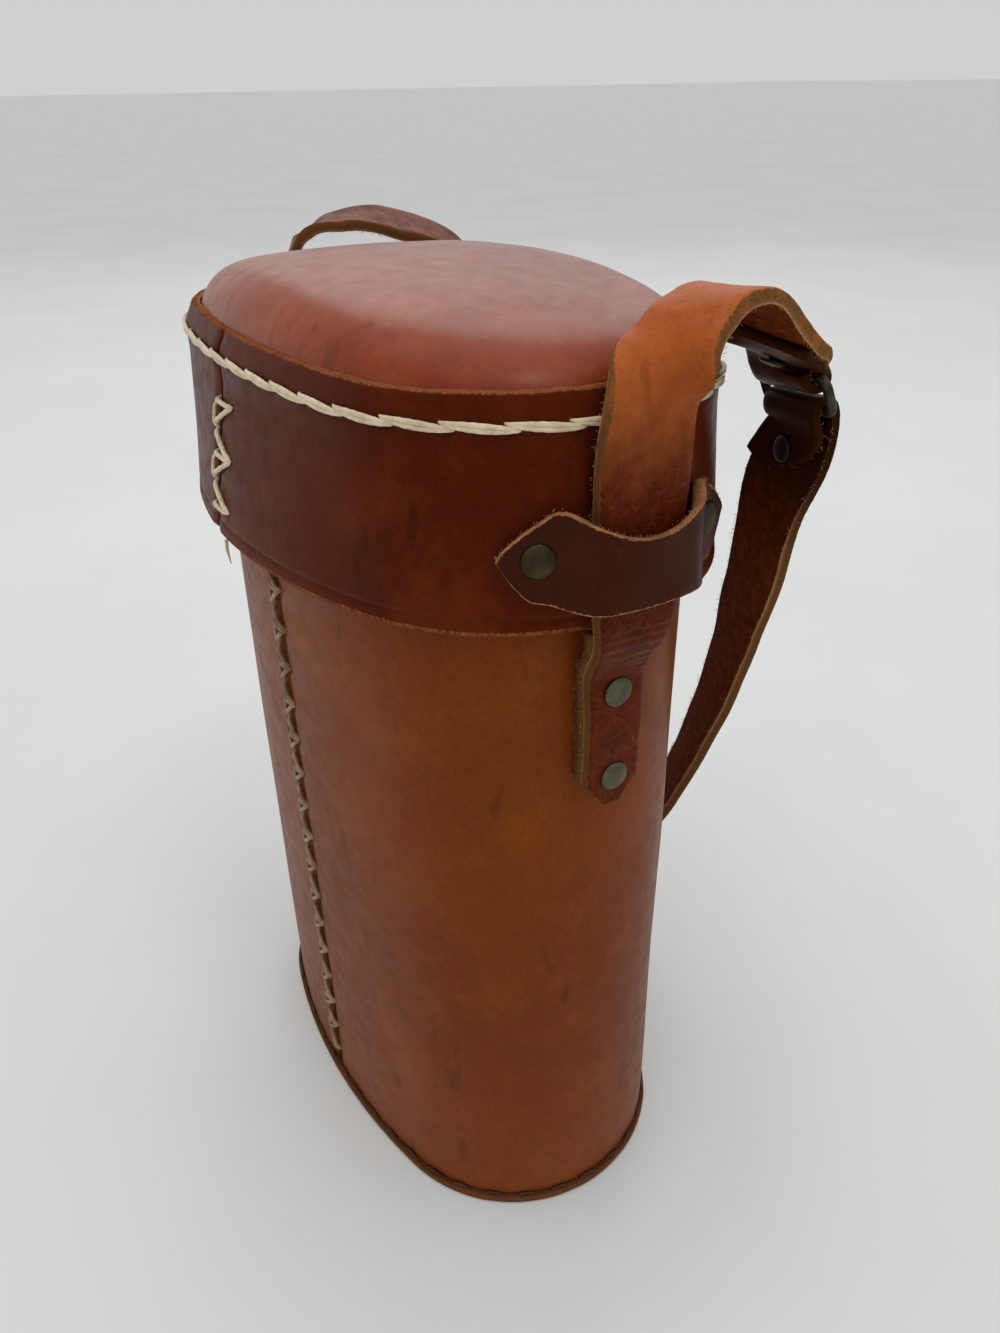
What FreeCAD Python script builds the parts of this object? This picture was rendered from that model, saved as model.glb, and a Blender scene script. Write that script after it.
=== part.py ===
import FreeCAD, Part
import math
import os

V = FreeCAD.Vector

# Leather bottle carrier: an oval hand-laced body, a domed lid that slides up its shoulder strap,
# and a two-piece strap joined by a wire loop. Millimetres, +Z up, origin under the middle of the base.
# +X is the end with the wire loop, -Y the broad side with the laced seam.

# Leather and thread
WALL_T = 4.0            # body leather
BASE_T = 4.0            # base panel
SKIRT_T = 4.0           # lid skirt leather
CROWN_T = 4.5           # moulded lid top
STRAP_T = 4.0           # strap leather
KEEPER_T = 3.5          # strap keeper leather
THREAD_T = 1.4          # thread standing off the leather
LACE_W = 1.8            # lacing thread seen from the front

# Plan shapes are four-arc ovals: length, width, end radius
BODY = (208.0, 124.0, 56.0)
SKIRT_LOW = (226.0, 150.0, 66.0)
SKIRT_TOP = (220.0, 133.0, 62.0)
WELT = 2.0              # base panel standing proud of the wall

# Heights
SKIRT_Z = 259.0         # lower edge of the lid skirt
SKIRT_H = 63.0          # height of the skirt
FLARE_H = 47.0          # flared lower part of it, upright above
FLANGE = 14.0           # moulded lid top reaches this far down inside the skirt
DOME = 18.0             # crown of the lid above the skirt
CROWN_R = 420.0         # sphere of the crown
DOME_EDGE_R = 18.0      # moulded shoulder of the crown
STOP_GAP = 0.3          # lid flange over the body's top edge

# Seams
BODY_SEAM_GAP = 4.0
SKIRT_SEAM_GAP = 1.5
LACE_REACH = 5.0        # lacing holes either side of the body's seam
SKIRT_LACE_REACH = 6.5  # and of the skirt's
LACE_PITCH = 15.0
BODY_LACE_ROWS = 19
BODY_LACE_LOW = 15.0
SKIRT_LACE_ROWS = 3
SKIRT_LACE_PITCH = 12.5
SKIRT_LACE_LOW = 6.0    # lowest bar above the skirt's edge
LACE_HOLE = 2.2         # square awl holes
LACE_LEG = 1.6          # thread inside them

# Sewing
RIM_STITCH_PITCH = 16.0
RIM_STITCH_H = 3.4
RIM_STITCH_DROP = 7.5   # below the skirt's top edge
BASE_STITCH_PITCH = 12.8
BASE_STITCH_LEN = 7.0
STITCH_FILL = 0.94      # share of the pitch that a stitch covers

# Strap
STRAP_W = 28.0
TURN_W = 25.0           # short strap drawn in where it turns over the lid's end
STRAP_Y = -0.7          # strap line under the keepers
SKIVE_T = 2.6           # strap pared thin where it folds round the loop
NECK_W = 23.0           # strap at the skirt's lower edge
TAB_W = 18.5            # riveted strap end
TAB_Y = -3.0            # its line on the body
TAB_GAP = 17.5          # flat part of the end stops this far under the skirt
TAB_LEN = 44.0
TAB_RIVETS = (10.0, 5.0)                # in from the tip and from the top of the flat part
SPACER_T = 3.6          # leather under the riveted end, at its middle
SPACER_SHORT = 6.0      # its lower end above the tip
SEAT = 0.3              # play between strap and spacer
STRAP_CLEAR = 0.9       # strap in front of the skirt's lower edge

# Keeper on each end of the skirt
KEEPER_UP = 22.5        # pointed ends above the skirt's lower edge
KEEPER_RISE = 13.5      # shoulders above the points
KEEPER_HOLLOW = 8.5     # dip of the upper edge over the strap
KEEPER_FALL = 13.5      # lower edge below the points
KEEPER_HALF = 36.0
KEEPER_PEAK_Y = 19.0
KEEPER_FLAT_Y = 17.0    # straight part of the lower edge
KEEPER_CROWN = 1.5      # bow over the strap
KEEPER_SLACK = 0.4      # over the strap
KEEPER_DROP = 6.0       # width of the slope from the strap down to the skirt
KEEPER_BULGE = 2.0      # fullness of the outline's rounded sides
KEEPER_RIVET_Y = 26.0

# Double-cap rivets
CAP_R = 4.7
CAP_H = 1.5
CAP_EDGE = 0.5          # upright edge of the cap
BACK_R = 4.0
BACK_H = 1.0
POST_R = 1.5
RIVET_CLEAR = 0.2

# Wire loop that joins the two straps
WIRE_R = 1.4
LOOP_HALF = 17.4        # half length, middle of the wire
LOOP_CORNER = 3.0       # its bends
LOOP_BARS = 9.8         # bar to bar
LOOP_POS = V(102.2, 60.7, SKIRT_Z + SKIRT_H - 7.5)      # middle of its upper bar
LOOP_ALONG = V(0.95, -0.28, 0.13)       # along its bars
LOOP_HANG = V(-0.05, 0.35, -0.93)       # from the upper bar to the lower
SHORT_DOWN = V(-0.25, 0.62, -0.74)      # the straps' own directions where they meet it
LONG_DOWN = V(-0.2, 0.12, -0.97)
FOLD_CLEAR = 0.3
FLAP_LEN = 26.0
BAR_RUN = 5.0           # straight strap next to a bar
FLAP_RIVET = 14.0       # along the strap from the bar

# Heights and places that follow from the sizes above
RIM_Z = SKIRT_Z + SKIRT_H
SHOULDER_Z = SKIRT_Z + FLARE_H
TAB_TOP = SKIRT_Z - TAB_GAP
TAB_LOW = TAB_TOP - TAB_LEN
KEEPER_Z = SKIRT_Z + KEEPER_UP
KEEPER_PEAK = KEEPER_Z + KEEPER_RISE
KEEPER_LOW = KEEPER_Z - KEEPER_FALL
EDGE_X = SKIRT_LOW[0] / 2 + STRAP_CLEAR + STRAP_T / 2
KEEPER_X = EDGE_X - 1.4                 # strap leans in with the skirt

# Strap routes between the riveted ends and the wire loop: point on the middle line, direction of the right
# edge. Heights are from the skirt's top edge.
# The short strap climbs the near end, turns over it and comes down to the loop.
SHORT_ROUTE = [
    (V(KEEPER_X, STRAP_Y, 26 - SKIRT_H), V(0, 1, 0)),
    (V(114.9, -0.7, -20), V(0.05, 1, 0)),
    (V(115.4, 0, -6), V(0, 0.99, 0.12)),
    (V(116, 3.4, 6.5), V(0.3, 0.66, 0.68), TURN_W),
    (V(114.8, 10.6, 14.8), V(0.88, 0.42, 0.24), TURN_W),
    (V(113.8, 20.5, 19), V(0.98, 0, 0.1)),
    (V(110.6, 37, 13.4), V(0.99, -0.06, 0.02)),
    (V(106.5, 49.5, 4.5), V(0.99, -0.08, 0.07)),
]
# The long strap hangs in a loop behind the body, turning so that it bends flat at the bottom, and climbs
# the far end.
LONG_ROUTE = [
    (V(97, 67.5, -41), V(0.97, -0.15, -0.05)),
    (V(91, 69, -66), V(0.95, -0.23, -0.18)),
    (V(82, 73.5, -93), V(0.91, -0.33, -0.25)),
    (V(72, 78, -123), V(0.87, -0.45, -0.23)),
    (V(60.5, 80, -155), V(0.78, -0.55, -0.28)),
    (V(48.5, 81, -185), V(0.68, -0.63, -0.36)),
    (V(34, 81.5, -215), V(0.55, -0.72, -0.42)),
    (V(13, 82, -243), V(0.3, -0.92, -0.25)),
    (V(-16, 82.5, -255), V(0, -1, 0)),
    (V(-45, 83, -243), V(-0.3, -0.92, 0.25)),
    (V(-66, 83, -215), V(-0.55, -0.72, 0.42)),
    (V(-81, 83.5, -177), V(-0.75, -0.58, 0.32)),
    (V(-92, 84.5, -127), V(-0.9, -0.4, 0.22)),
    (V(-99, 85, -77), V(-0.96, -0.22, 0.14)),
    (V(-103, 83.5, -37), V(-0.98, -0.08, 0.1)),
    (V(-109, 83, -13), V(-0.85, 0.35, 0.05)),
    (V(-116, 72, 3), V(-0.62, 0.77, -0.1)),
    (V(-118, 47, 12.5), V(-0.75, 0.65, 0.1)),
    (V(-118, 22, 14.5), V(-0.9, 0.42, 0.05)),
    (V(-122, 6.5, 7.5), V(-0.93, 0.05, -0.35)),
    (V(-124, 1, -8), V(-0.5, 0.86, -0.1)),
    (V(-116.2, 0, -20), V(-0.06, 1, 0)),
    (V(-KEEPER_X, STRAP_Y, 26 - SKIRT_H), V(0, 1, 0)),
]


def oval(shape, z, grow=0.0):
    """Closed four-arc oval wire at height z; grow moves every side outwards."""
    half_l = shape[0] / 2 + grow
    half_w = shape[1] / 2 + grow
    end_r = shape[2] + grow
    centre = half_l - end_r
    side_r = (centre ** 2 + half_w ** 2 - end_r ** 2) / (2 * (half_w - end_r))
    turn = math.atan2(centre, side_r - half_w)
    x = centre + end_r * math.sin(turn)
    y = end_r * math.cos(turn)
    corners = [V(x, -y, z), V(x, y, z), V(-x, y, z), V(-x, -y, z)]
    middles = [V(half_l, 0, z), V(0, half_w, z), V(-half_l, 0, z), V(0, -half_w, z)]
    arcs = [Part.Arc(corners[i], middles[i], corners[(i + 1) % 4]).toShape() for i in range(4)]
    return Part.Wire(arcs)


def prism(shape, z0, z1, grow=0.0):
    return Part.Face(oval(shape, z0, grow)).extrude(V(0, 0, z1 - z0))


def mix(a, b, t):
    return tuple(p + (q - p) * t for p, q in zip(a, b))


def skirt_at(z):
    """The skirt's outer oval at height z."""
    t = min(1.0, (z - SKIRT_Z) / (SHOULDER_Z - SKIRT_Z))
    return mix(SKIRT_LOW, SKIRT_TOP, t)


def end_x(shape, y):
    """X of an oval's near end at a distance y from the middle."""
    return shape[0] / 2 - shape[2] + math.sqrt(shape[2] ** 2 - y * y)


def rod(radius, start, end):
    axis = end - start
    return Part.makeCylinder(radius, axis.Length, start, axis)


def mirrored(shape):
    return shape.mirror(V(0, 0, 0), V(1, 0, 0))


def export(shape, name):
    shape.exportStep("parts/%s.step" % name)


def strip(a, b, width):
    """Flat thread from a to b in the XZ plane, standing off towards -Y."""
    along = (b - a).normalize()
    side = V(-along.z, 0, along.x) * (width / 2)
    tip = along * (width / 2)
    corners = [a - tip - side, b + tip - side, b + tip + side, a - tip + side]
    return Part.Face(Part.makePolygon(corners + corners[:1])).extrude(V(0, -THREAD_T, 0))


def square_rod(side, x, z, y0, y1):
    return Part.makeBox(side, y1 - y0, side, V(x - side / 2, y0, z - side / 2))


def lacing(rows, pitch, reach, left_post):
    """Cross bars joined by slanting threads, with legs into the lacing holes. Lowest bar at z 0."""
    strips = []
    for i in range(rows + 1):
        strips.append(strip(V(-reach, 0, i * pitch), V(reach, 0, i * pitch), LACE_W))
    for i in range(rows):
        strips.append(strip(V(-reach, 0, (i + 1) * pitch), V(reach, 0, i * pitch), LACE_W))
    if left_post:
        strips.append(strip(V(-reach, 0, 0), V(-reach, 0, rows * pitch), LACE_W))
    for i in range(rows + 1):
        for x in (-reach, reach):
            strips.append(square_rod(LACE_LEG, x, i * pitch, -THREAD_T / 2, WALL_T - 1))
    return strips[0].multiFuse(strips[1:]).removeSplitter()


def lacing_holes(rows, pitch, reach):
    holes = []
    for i in range(rows + 1):
        for x in (-reach, reach):
            holes.append(square_rod(LACE_HOLE, x, i * pitch, -2, WALL_T + 4))
    return Part.makeCompound(holes)


def around(wire, count):
    """Evenly spaced points of a closed plan wire with the turn of the tangent there."""
    points = wire.discretize(Number=2 * count + 1)
    stations = []
    for i in range(count):
        before, here, after = points[2 * i - 1 if i else -2], points[2 * i], points[2 * i + 1]
        along = after - before
        stations.append((here, math.degrees(math.atan2(along.y, along.x))))
    return stations


def sewn(wire, stitch, pitch):
    """One stitch repeated round a plan wire, its back on the leather."""
    out = []
    for point, turn in around(wire, round(wire.Length / pitch)):
        copy = stitch.copy()
        copy.Placement = FreeCAD.Placement(point, FreeCAD.Rotation(V(0, 0, 1), turn))
        out.append(copy)
    return Part.makeCompound(out)


def lens(length, height, depth):
    """A plump stitch: six-sided face standing off towards -Y."""
    a, b, h = length / 2, length / 4, height / 2
    corners = [V(-a, 0, 0), V(-b, 0, -h), V(b, 0, -h), V(a, 0, 0), V(b, 0, h), V(-b, 0, h)]
    return Part.Face(Part.makePolygon(corners + corners[:1])).extrude(V(0, -depth, 0))


def rivet(outer, axis, stack):
    """Double-cap rivet set through a stack of leather; outer is on the outer face, axis points out of it."""
    bulge = CAP_H - CAP_EDGE
    ball_r = (CAP_R ** 2 + bulge ** 2) / (2 * bulge)
    half = math.asin(CAP_R / ball_r) / 2
    shoulder = V(ball_r * math.sin(half), 0, CAP_H - ball_r + ball_r * math.cos(half))
    top = Part.Arc(V(CAP_R, 0, CAP_EDGE), shoulder, V(0, 0, CAP_H)).toShape()
    under = [V(0, 0, CAP_H), V(0, 0, -stack - BACK_H)]
    under += [V(BACK_R * 0.8, 0, -stack - BACK_H), V(BACK_R, 0, -stack)]
    under += [V(POST_R, 0, -stack), V(POST_R, 0, 0), V(CAP_R, 0, 0), V(CAP_R, 0, CAP_EDGE)]
    outline = Part.Wire([top] + Part.makePolygon(under).Edges)
    body = Part.Face(outline).revolve(V(0, 0, 0), V(0, 0, 1), 360)
    body.Placement = FreeCAD.Placement(outer, FreeCAD.Rotation(V(0, 0, 1), axis))
    return body


def rivet_hole(outer, axis, stack):
    unit = V(axis).normalize()
    return rod(POST_R + RIVET_CLEAR, outer + unit * 3, outer - unit * (stack + 3))


# Strap: sections along a smooth route, skinned with ruled faces.
class Band:
    def __init__(self, stations, per_span=2):
        """stations: point, right-edge direction, width, thickness; the middle line meets every point."""
        points = [s[0] for s in stations]
        params = [0.0]
        for a, b in zip(points, points[1:]):
            params.append(params[-1] + (b - a).Length)
        self.line = Part.BSplineCurve()
        self.line.interpolate(Points=points, Parameters=params)
        self.params = params
        self.stations = stations
        self.at = []
        for i in range(len(points) - 1):
            for k in range(per_span):
                self.at.append(params[i] + (params[i + 1] - params[i]) * k / per_span)
        self.at.append(params[-1])

    def frame(self, u):
        """Middle point, right-edge direction, outer-face direction, width and thickness at u."""
        i = max(k for k in range(len(self.params) - 1) if self.params[k] <= u + 1e-9)
        t = (u - self.params[i]) / (self.params[i + 1] - self.params[i])
        smooth = t * t * (3 - 2 * t)
        across = self.stations[i][1] * (1 - smooth) + self.stations[i + 1][1] * smooth
        width, thick = mix(self.stations[i][2:], self.stations[i + 1][2:], t)
        along = V(self.line.tangent(u)[0]).normalize()
        across = (across - along * across.dot(along)).normalize()
        return self.line.value(u), across, across.cross(along), width, thick

    def solid(self):
        wires = []
        for u in self.at:
            middle, across, out, width, thick = self.frame(u)
            a, n = across * (width / 2), out * (thick / 2)
            corners = [middle - a - n, middle + a - n, middle + a + n, middle - a + n]
            wires.append(Part.makePolygon(corners + corners[:1]))
        return Part.makeLoft(wires, True, True)


BEND_OFF = WIRE_R + FOLD_CLEAR + SKIVE_T / 2      # bar centre to the strap's middle line
FLAP_OFF = (STRAP_T + SKIVE_T) / 2 + 2 * FOLD_CLEAR     # flap's middle line to the strap's
ALONG = V(LOOP_ALONG).normalize()


def squared(direction):
    """A unit direction at right angles to the loop's bars."""
    return (direction - ALONG * direction.dot(ALONG)).normalize()


HANG = squared(LOOP_HANG)


def fold(main, bar, down, at_end):
    """Stations of a strap end wrapped round a bar and laid back on the strap's inner side."""
    end = main.params[-1] if at_end else 0.0
    back = -1 if at_end else 1
    away = down * -back
    face = ALONG.cross(down)
    stations = []
    for step in range(1, 6):
        turn = math.radians(36 * step)
        point = bar + face * (BEND_OFF * math.cos(turn)) + away * (BEND_OFF * math.sin(turn))
        stations.append((point, ALONG, STRAP_W, SKIVE_T))
    for distance in (4.5, 10.0, 18.0, FLAP_LEN):
        middle, across, out, width, thick = main.frame(end + back * distance)
        ease = max(0.0, 1 - distance / 10.0)
        apart = FLAP_OFF + (2 * BEND_OFF - FLAP_OFF) * ease
        stations.append((middle - out * apart, across, width, SKIVE_T))
    return stations


def riveted_end(side):
    """Stations of the tapered strap end on the body, from its tip upwards; side is +1 near, -1 far."""
    x = side * (BODY[0] / 2 + SPACER_T + SEAT + STRAP_T / 2)
    bend_x = side * EDGE_X - side * 1.3
    across = V(0, 1, 0)
    return [
        (V(x, TAB_Y, TAB_LOW), across, TAB_W * 0.3, STRAP_T),
        (V(x, TAB_Y, TAB_LOW + 8), across, TAB_W, STRAP_T),
        (V(x, TAB_Y, TAB_TOP - 8), across, TAB_W, STRAP_T),
        (V(x, TAB_Y, TAB_TOP), across, TAB_W * 1.05, STRAP_T),
        (V(bend_x, (TAB_Y + STRAP_Y) / 2, SKIRT_Z - 7), across, (TAB_W + NECK_W) / 2, STRAP_T),
        (V(side * EDGE_X, STRAP_Y, SKIRT_Z + 3), across, NECK_W, STRAP_T),
    ]


def routed(route, thick=STRAP_T, height=0.0):
    """Stations of a route; a third value is a width of its own."""
    return [(s[0] + V(0, 0, height), s[1], s[2] if len(s) > 2 else STRAP_W, thick) for s in route]


os.makedirs("parts", exist_ok=True)
BODY_TOP = RIM_Z - FLANGE - STOP_GAP
SKIRT_LEAN = (SKIRT_LOW[0] - SKIRT_TOP[0]) / 2 / (SHOULDER_Z - SKIRT_Z)
SEAM_Y = -BODY[1] / 2

# Body: one wrapped sheet, its edges laced on the seam side, on a stitched base panel
seam_slot = Part.makeBox(BODY_SEAM_GAP, 20, BODY_TOP, V(-BODY_SEAM_GAP / 2, SEAM_Y - 8, 0))
body_wall = prism(BODY, BASE_T, BODY_TOP).cut(prism(BODY, 0, BODY_TOP + 1, -WALL_T)).cut(seam_slot)
body_holes = lacing_holes(BODY_LACE_ROWS, LACE_PITCH, LACE_REACH)
body_holes.translate(V(0, SEAM_Y, BODY_LACE_LOW))
body_wall = body_wall.cut(body_holes)
body_lacing = lacing(BODY_LACE_ROWS, LACE_PITCH, LACE_REACH, False)
body_lacing.translate(V(0, SEAM_Y, BODY_LACE_LOW))
base_panel = prism(BODY, 0, BASE_T, WELT)
base_stitch = Part.makeBox(BASE_STITCH_LEN, THREAD_T, THREAD_T, V(-BASE_STITCH_LEN / 2, -THREAD_T, 0))
base_stitching = sewn(oval(BODY, BASE_T), base_stitch, BASE_STITCH_PITCH)

# Lid skirt: upright band at the top, flared below, laced on the seam side
def skirt_solid(inset):
    low = Part.makeLoft([oval(SKIRT_LOW, SKIRT_Z, -inset), oval(SKIRT_TOP, SHOULDER_Z, -inset)], True, True)
    return low.fuse(prism(SKIRT_TOP, SHOULDER_Z, RIM_Z, -inset)).removeSplitter()


slot_corner = V(-SKIRT_SEAM_GAP / 2, -SKIRT_LOW[1] / 2 - 5, SKIRT_Z - 5)
skirt_slot = Part.makeBox(SKIRT_SEAM_GAP, 30, SKIRT_H + 10, slot_corner)
lid_skirt = skirt_solid(0).cut(skirt_solid(SKIRT_T)).cut(skirt_slot)
flare = math.degrees(math.atan2((SKIRT_LOW[1] - SKIRT_TOP[1]) / 2, SHOULDER_Z - SKIRT_Z))
lace_z = SKIRT_Z + SKIRT_LACE_LOW
lace_place = FreeCAD.Placement(V(0, -skirt_at(lace_z)[1] / 2, lace_z), FreeCAD.Rotation(V(1, 0, 0), -flare))
skirt_holes = lacing_holes(SKIRT_LACE_ROWS, SKIRT_LACE_PITCH, SKIRT_LACE_REACH)
skirt_holes.Placement = lace_place
lid_skirt = lid_skirt.cut(skirt_holes)
lid_lacing = lacing(SKIRT_LACE_ROWS, SKIRT_LACE_PITCH, SKIRT_LACE_REACH, True)
lid_lacing.Placement = lace_place


# Moulded lid top: crowned shell with a rounded shoulder and an upright flange inside the skirt
def crown_solid(inset):
    """The crown filled in, every face moved in by inset."""
    grow = -SKIRT_T - 0.1 - inset
    block = prism(SKIRT_TOP, RIM_Z - FLANGE, RIM_Z + DOME + 5, grow)
    ball = Part.makeSphere(CROWN_R - inset, V(0, 0, RIM_Z + DOME - CROWN_R))
    block = block.common(ball)
    rim = [e for e in block.Edges if e.BoundBox.ZMin > RIM_Z]
    return block.makeFillet(DOME_EDGE_R - inset, rim)


lid_top = crown_solid(0).cut(crown_solid(CROWN_T))
rim_stitch = lens(RIM_STITCH_PITCH * STITCH_FILL, RIM_STITCH_H, THREAD_T)
rim_stitching = sewn(oval(SKIRT_TOP, RIM_Z - RIM_STITCH_DROP, 0.4), rim_stitch, RIM_STITCH_PITCH)


# Keeper: a leather loop with pointed ends, bowed over the strap and riveted to the skirt
def keeper_line(z, offset):
    """Plan curve of the keeper at height z, offset outwards from its inner face."""
    skirt = skirt_at(z)
    strap_out = KEEPER_X + STRAP_T / 2 + KEEPER_SLACK + SKIRT_LEAN * (KEEPER_PEAK - z)
    inner = []
    for i in range(-18, 19):
        y = STRAP_Y + i * (KEEPER_HALF + 4) / 17
        reach = abs(y - STRAP_Y)
        rest = end_x(skirt, y) + 0.3
        over = strap_out + KEEPER_CROWN * max(0.0, 1 - (2 * reach / STRAP_W) ** 2)
        t = min(1.0, max(0.0, (reach - STRAP_W / 2 - KEEPER_SLACK) / KEEPER_DROP))
        inner.append(V(over + (rest - over) * t * t * (3 - 2 * t), y, z))
    line = []
    for i in range(1, len(inner) - 1):
        along = (inner[i + 1] - inner[i - 1]).normalize()
        line.append(inner[i] + V(along.y, -along.x, 0) * offset)
    return line


def keeper_outline():
    """Front view of the keeper as a block along X."""
    def p(y, z):
        return V(SKIRT_TOP[0] / 2 - 20, STRAP_Y + y, z)
    top_y = (KEEPER_HALF + KEEPER_PEAK_Y) / 2 + KEEPER_BULGE
    top_z = KEEPER_Z + KEEPER_RISE / 2 + KEEPER_BULGE
    low_y = (KEEPER_HALF + KEEPER_FLAT_Y) / 2 + KEEPER_BULGE
    low_z = KEEPER_Z - KEEPER_FALL / 2 - KEEPER_BULGE
    hollow_z = KEEPER_PEAK - KEEPER_HOLLOW
    edges = [
        Part.makeLine(p(-KEEPER_FLAT_Y, KEEPER_LOW), p(KEEPER_FLAT_Y, KEEPER_LOW)),
        Part.Arc(p(KEEPER_FLAT_Y, KEEPER_LOW), p(low_y, low_z), p(KEEPER_HALF, KEEPER_Z)).toShape(),
        Part.Arc(p(KEEPER_HALF, KEEPER_Z), p(top_y, top_z), p(KEEPER_PEAK_Y, KEEPER_PEAK)).toShape(),
        Part.Arc(p(KEEPER_PEAK_Y, KEEPER_PEAK), p(0, hollow_z), p(-KEEPER_PEAK_Y, KEEPER_PEAK)).toShape(),
        Part.Arc(p(-KEEPER_PEAK_Y, KEEPER_PEAK), p(-top_y, top_z), p(-KEEPER_HALF, KEEPER_Z)).toShape(),
        Part.Arc(p(-KEEPER_HALF, KEEPER_Z), p(-low_y, low_z), p(-KEEPER_FLAT_Y, KEEPER_LOW)).toShape(),
    ]
    return Part.Face(Part.Wire(edges)).extrude(V(45, 0, 0))


def keeper_solid():
    z = KEEPER_LOW - 3
    inner = Part.BSplineCurve()
    inner.interpolate(keeper_line(z, 0))
    outer = Part.BSplineCurve()
    outer.interpolate(keeper_line(z, KEEPER_T))
    inside, outside = inner.toShape(), outer.toShape()
    caps = [Part.makeLine(a.Point, b.Point) for a, b in zip(inside.Vertexes, outside.Vertexes)]
    face = Part.Face(Part.Wire([inside, caps[1], outside, caps[0]]))
    rise = KEEPER_PEAK + 3 - z
    return face.extrude(V(-SKIRT_LEAN * rise, 0, rise)).common(keeper_outline())


def keeper_rivet_places():
    """Outer point and outward axis of each keeper rivet, and the leather it passes."""
    places = []
    skirt = skirt_at(KEEPER_Z)
    for y in (STRAP_Y - KEEPER_RIVET_Y, STRAP_Y + KEEPER_RIVET_Y):
        turn = math.asin(y / skirt[2])
        axis = V(math.cos(turn), math.sin(turn), SKIRT_LEAN).normalize()
        foot = V(end_x(skirt, y), y, KEEPER_Z)
        places.append((foot + axis * (KEEPER_T + 0.6), axis))
    return places, KEEPER_T + SKIRT_T + 1.1


keeper = keeper_solid()
places, keeper_stack = keeper_rivet_places()
for outer, axis in places:
    bore = rivet_hole(outer, axis, keeper_stack)
    keeper = keeper.cut(bore)
    lid_skirt = lid_skirt.cut(bore).cut(mirrored(bore))
keeper_rivets = Part.makeCompound([rivet(outer, axis, keeper_stack) for outer, axis in places])

# Riveted strap ends: strap over a spacer over the body wall
spacer_x = BODY[0] / 2 + SPACER_T
spacer_corner = V(spacer_x - 12, TAB_Y - TAB_W / 2 + 0.5, TAB_LOW + SPACER_SHORT)
spacer = Part.makeBox(12, TAB_W - 1, TAB_LEN - SPACER_SHORT, spacer_corner)
spacer = spacer.cut(prism(BODY, 0, BODY_TOP, 0.02))
wall_r = BODY[2] - WALL_T
wall_sag = wall_r - math.sqrt(wall_r ** 2 - (abs(TAB_Y) + BACK_R) ** 2)
tab_stack = STRAP_T + SPACER_T + WALL_T + SEAT + wall_sag + 0.55
tab_heights = (TAB_LOW + TAB_RIVETS[0], TAB_TOP - TAB_RIVETS[1])
tab_points = [V(spacer_x + SEAT + STRAP_T + 0.3, TAB_Y, z) for z in tab_heights]
tab_bores = Part.makeCompound([rivet_hole(p, V(1, 0, 0), tab_stack) for p in tab_points])
tab_rivets = Part.makeCompound([rivet(p, V(1, 0, 0), tab_stack) for p in tab_points])
spacer = spacer.cut(tab_bores)
body_wall = body_wall.cut(tab_bores).cut(mirrored(tab_bores))

# Wire loop between the straps, in the plane of ALONG and HANG
low_bar = LOOP_POS + HANG * LOOP_BARS
def loop_point(along, down):
    return LOOP_POS + ALONG * along + HANG * down


def loop_wire():
    """Middle line of the oblong loop, from the start of its upper bar."""
    straight, bend = LOOP_HALF - LOOP_CORNER, LOOP_CORNER
    tuck = bend * (1 - math.sqrt(0.5))
    edges = []
    for side, top, low in ((1, 0.0, LOOP_BARS), (-1, LOOP_BARS, 0.0)):
        inward = 1 if low > top else -1
        end, round_end = side * LOOP_HALF, side * (LOOP_HALF - tuck)
        corner = [loop_point(side * straight, top), loop_point(round_end, top + inward * tuck)]
        corner.append(loop_point(end, top + inward * bend))
        far = [loop_point(end, low - inward * bend), loop_point(round_end, low - inward * tuck)]
        far.append(loop_point(side * straight, low))
        edges.append(Part.makeLine(loop_point(-side * straight, top), corner[0]))
        edges.append(Part.Arc(*corner).toShape())
        edges.append(Part.makeLine(corner[2], far[0]))
        edges.append(Part.Arc(*far).toShape())
    return Part.Wire(edges)


loop_path = loop_wire()
loop_start = loop_point(LOOP_CORNER - LOOP_HALF, 0)
loop_section = Part.Wire(Part.makeCircle(WIRE_R, loop_start, ALONG))
strap_ring = Part.Solid(loop_path.makePipeShell([loop_section], True, False))

# Straps: each middle line runs straight for a little where it leaves its bar
short_down = squared(SHORT_DOWN)
short_bar = LOOP_POS + ALONG.cross(short_down) * BEND_OFF
short_end = [(short_bar - short_down * BAR_RUN, ALONG), (short_bar, ALONG)]
short_main = Band(riveted_end(1) + routed(SHORT_ROUTE, height=RIM_Z) + routed(short_end, SKIVE_T))
short_strap = Band(short_main.stations + fold(short_main, LOOP_POS, short_down, True)).solid()
long_down = squared(LONG_DOWN)
long_bar = low_bar + ALONG.cross(long_down) * BEND_OFF
long_start = [(long_bar, ALONG), (long_bar + long_down * BAR_RUN, ALONG)]
long_main = Band(routed(long_start, SKIVE_T) + routed(LONG_ROUTE, height=RIM_Z) + riveted_end(-1)[::-1])
long_strap = Band(fold(long_main, low_bar, long_down, False)[::-1] + long_main.stations).solid()


def fold_rivet(main, u):
    """Outer point and axis of the rivet that holds a flap down."""
    middle, across, out, width, thick = main.frame(u)
    return middle + out * (thick / 2 + 0.4), out


fold_stack = STRAP_T / 2 + FLAP_OFF + SKIVE_T / 2 + 0.9
short_rivet = fold_rivet(short_main, short_main.params[-1] - FLAP_RIVET)
long_rivet = fold_rivet(long_main, FLAP_RIVET)
short_strap = short_strap.cut(tab_bores).cut(rivet_hole(*short_rivet, fold_stack))
long_strap = long_strap.cut(mirrored(tab_bores)).cut(rivet_hole(*long_rivet, fold_stack))

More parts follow.
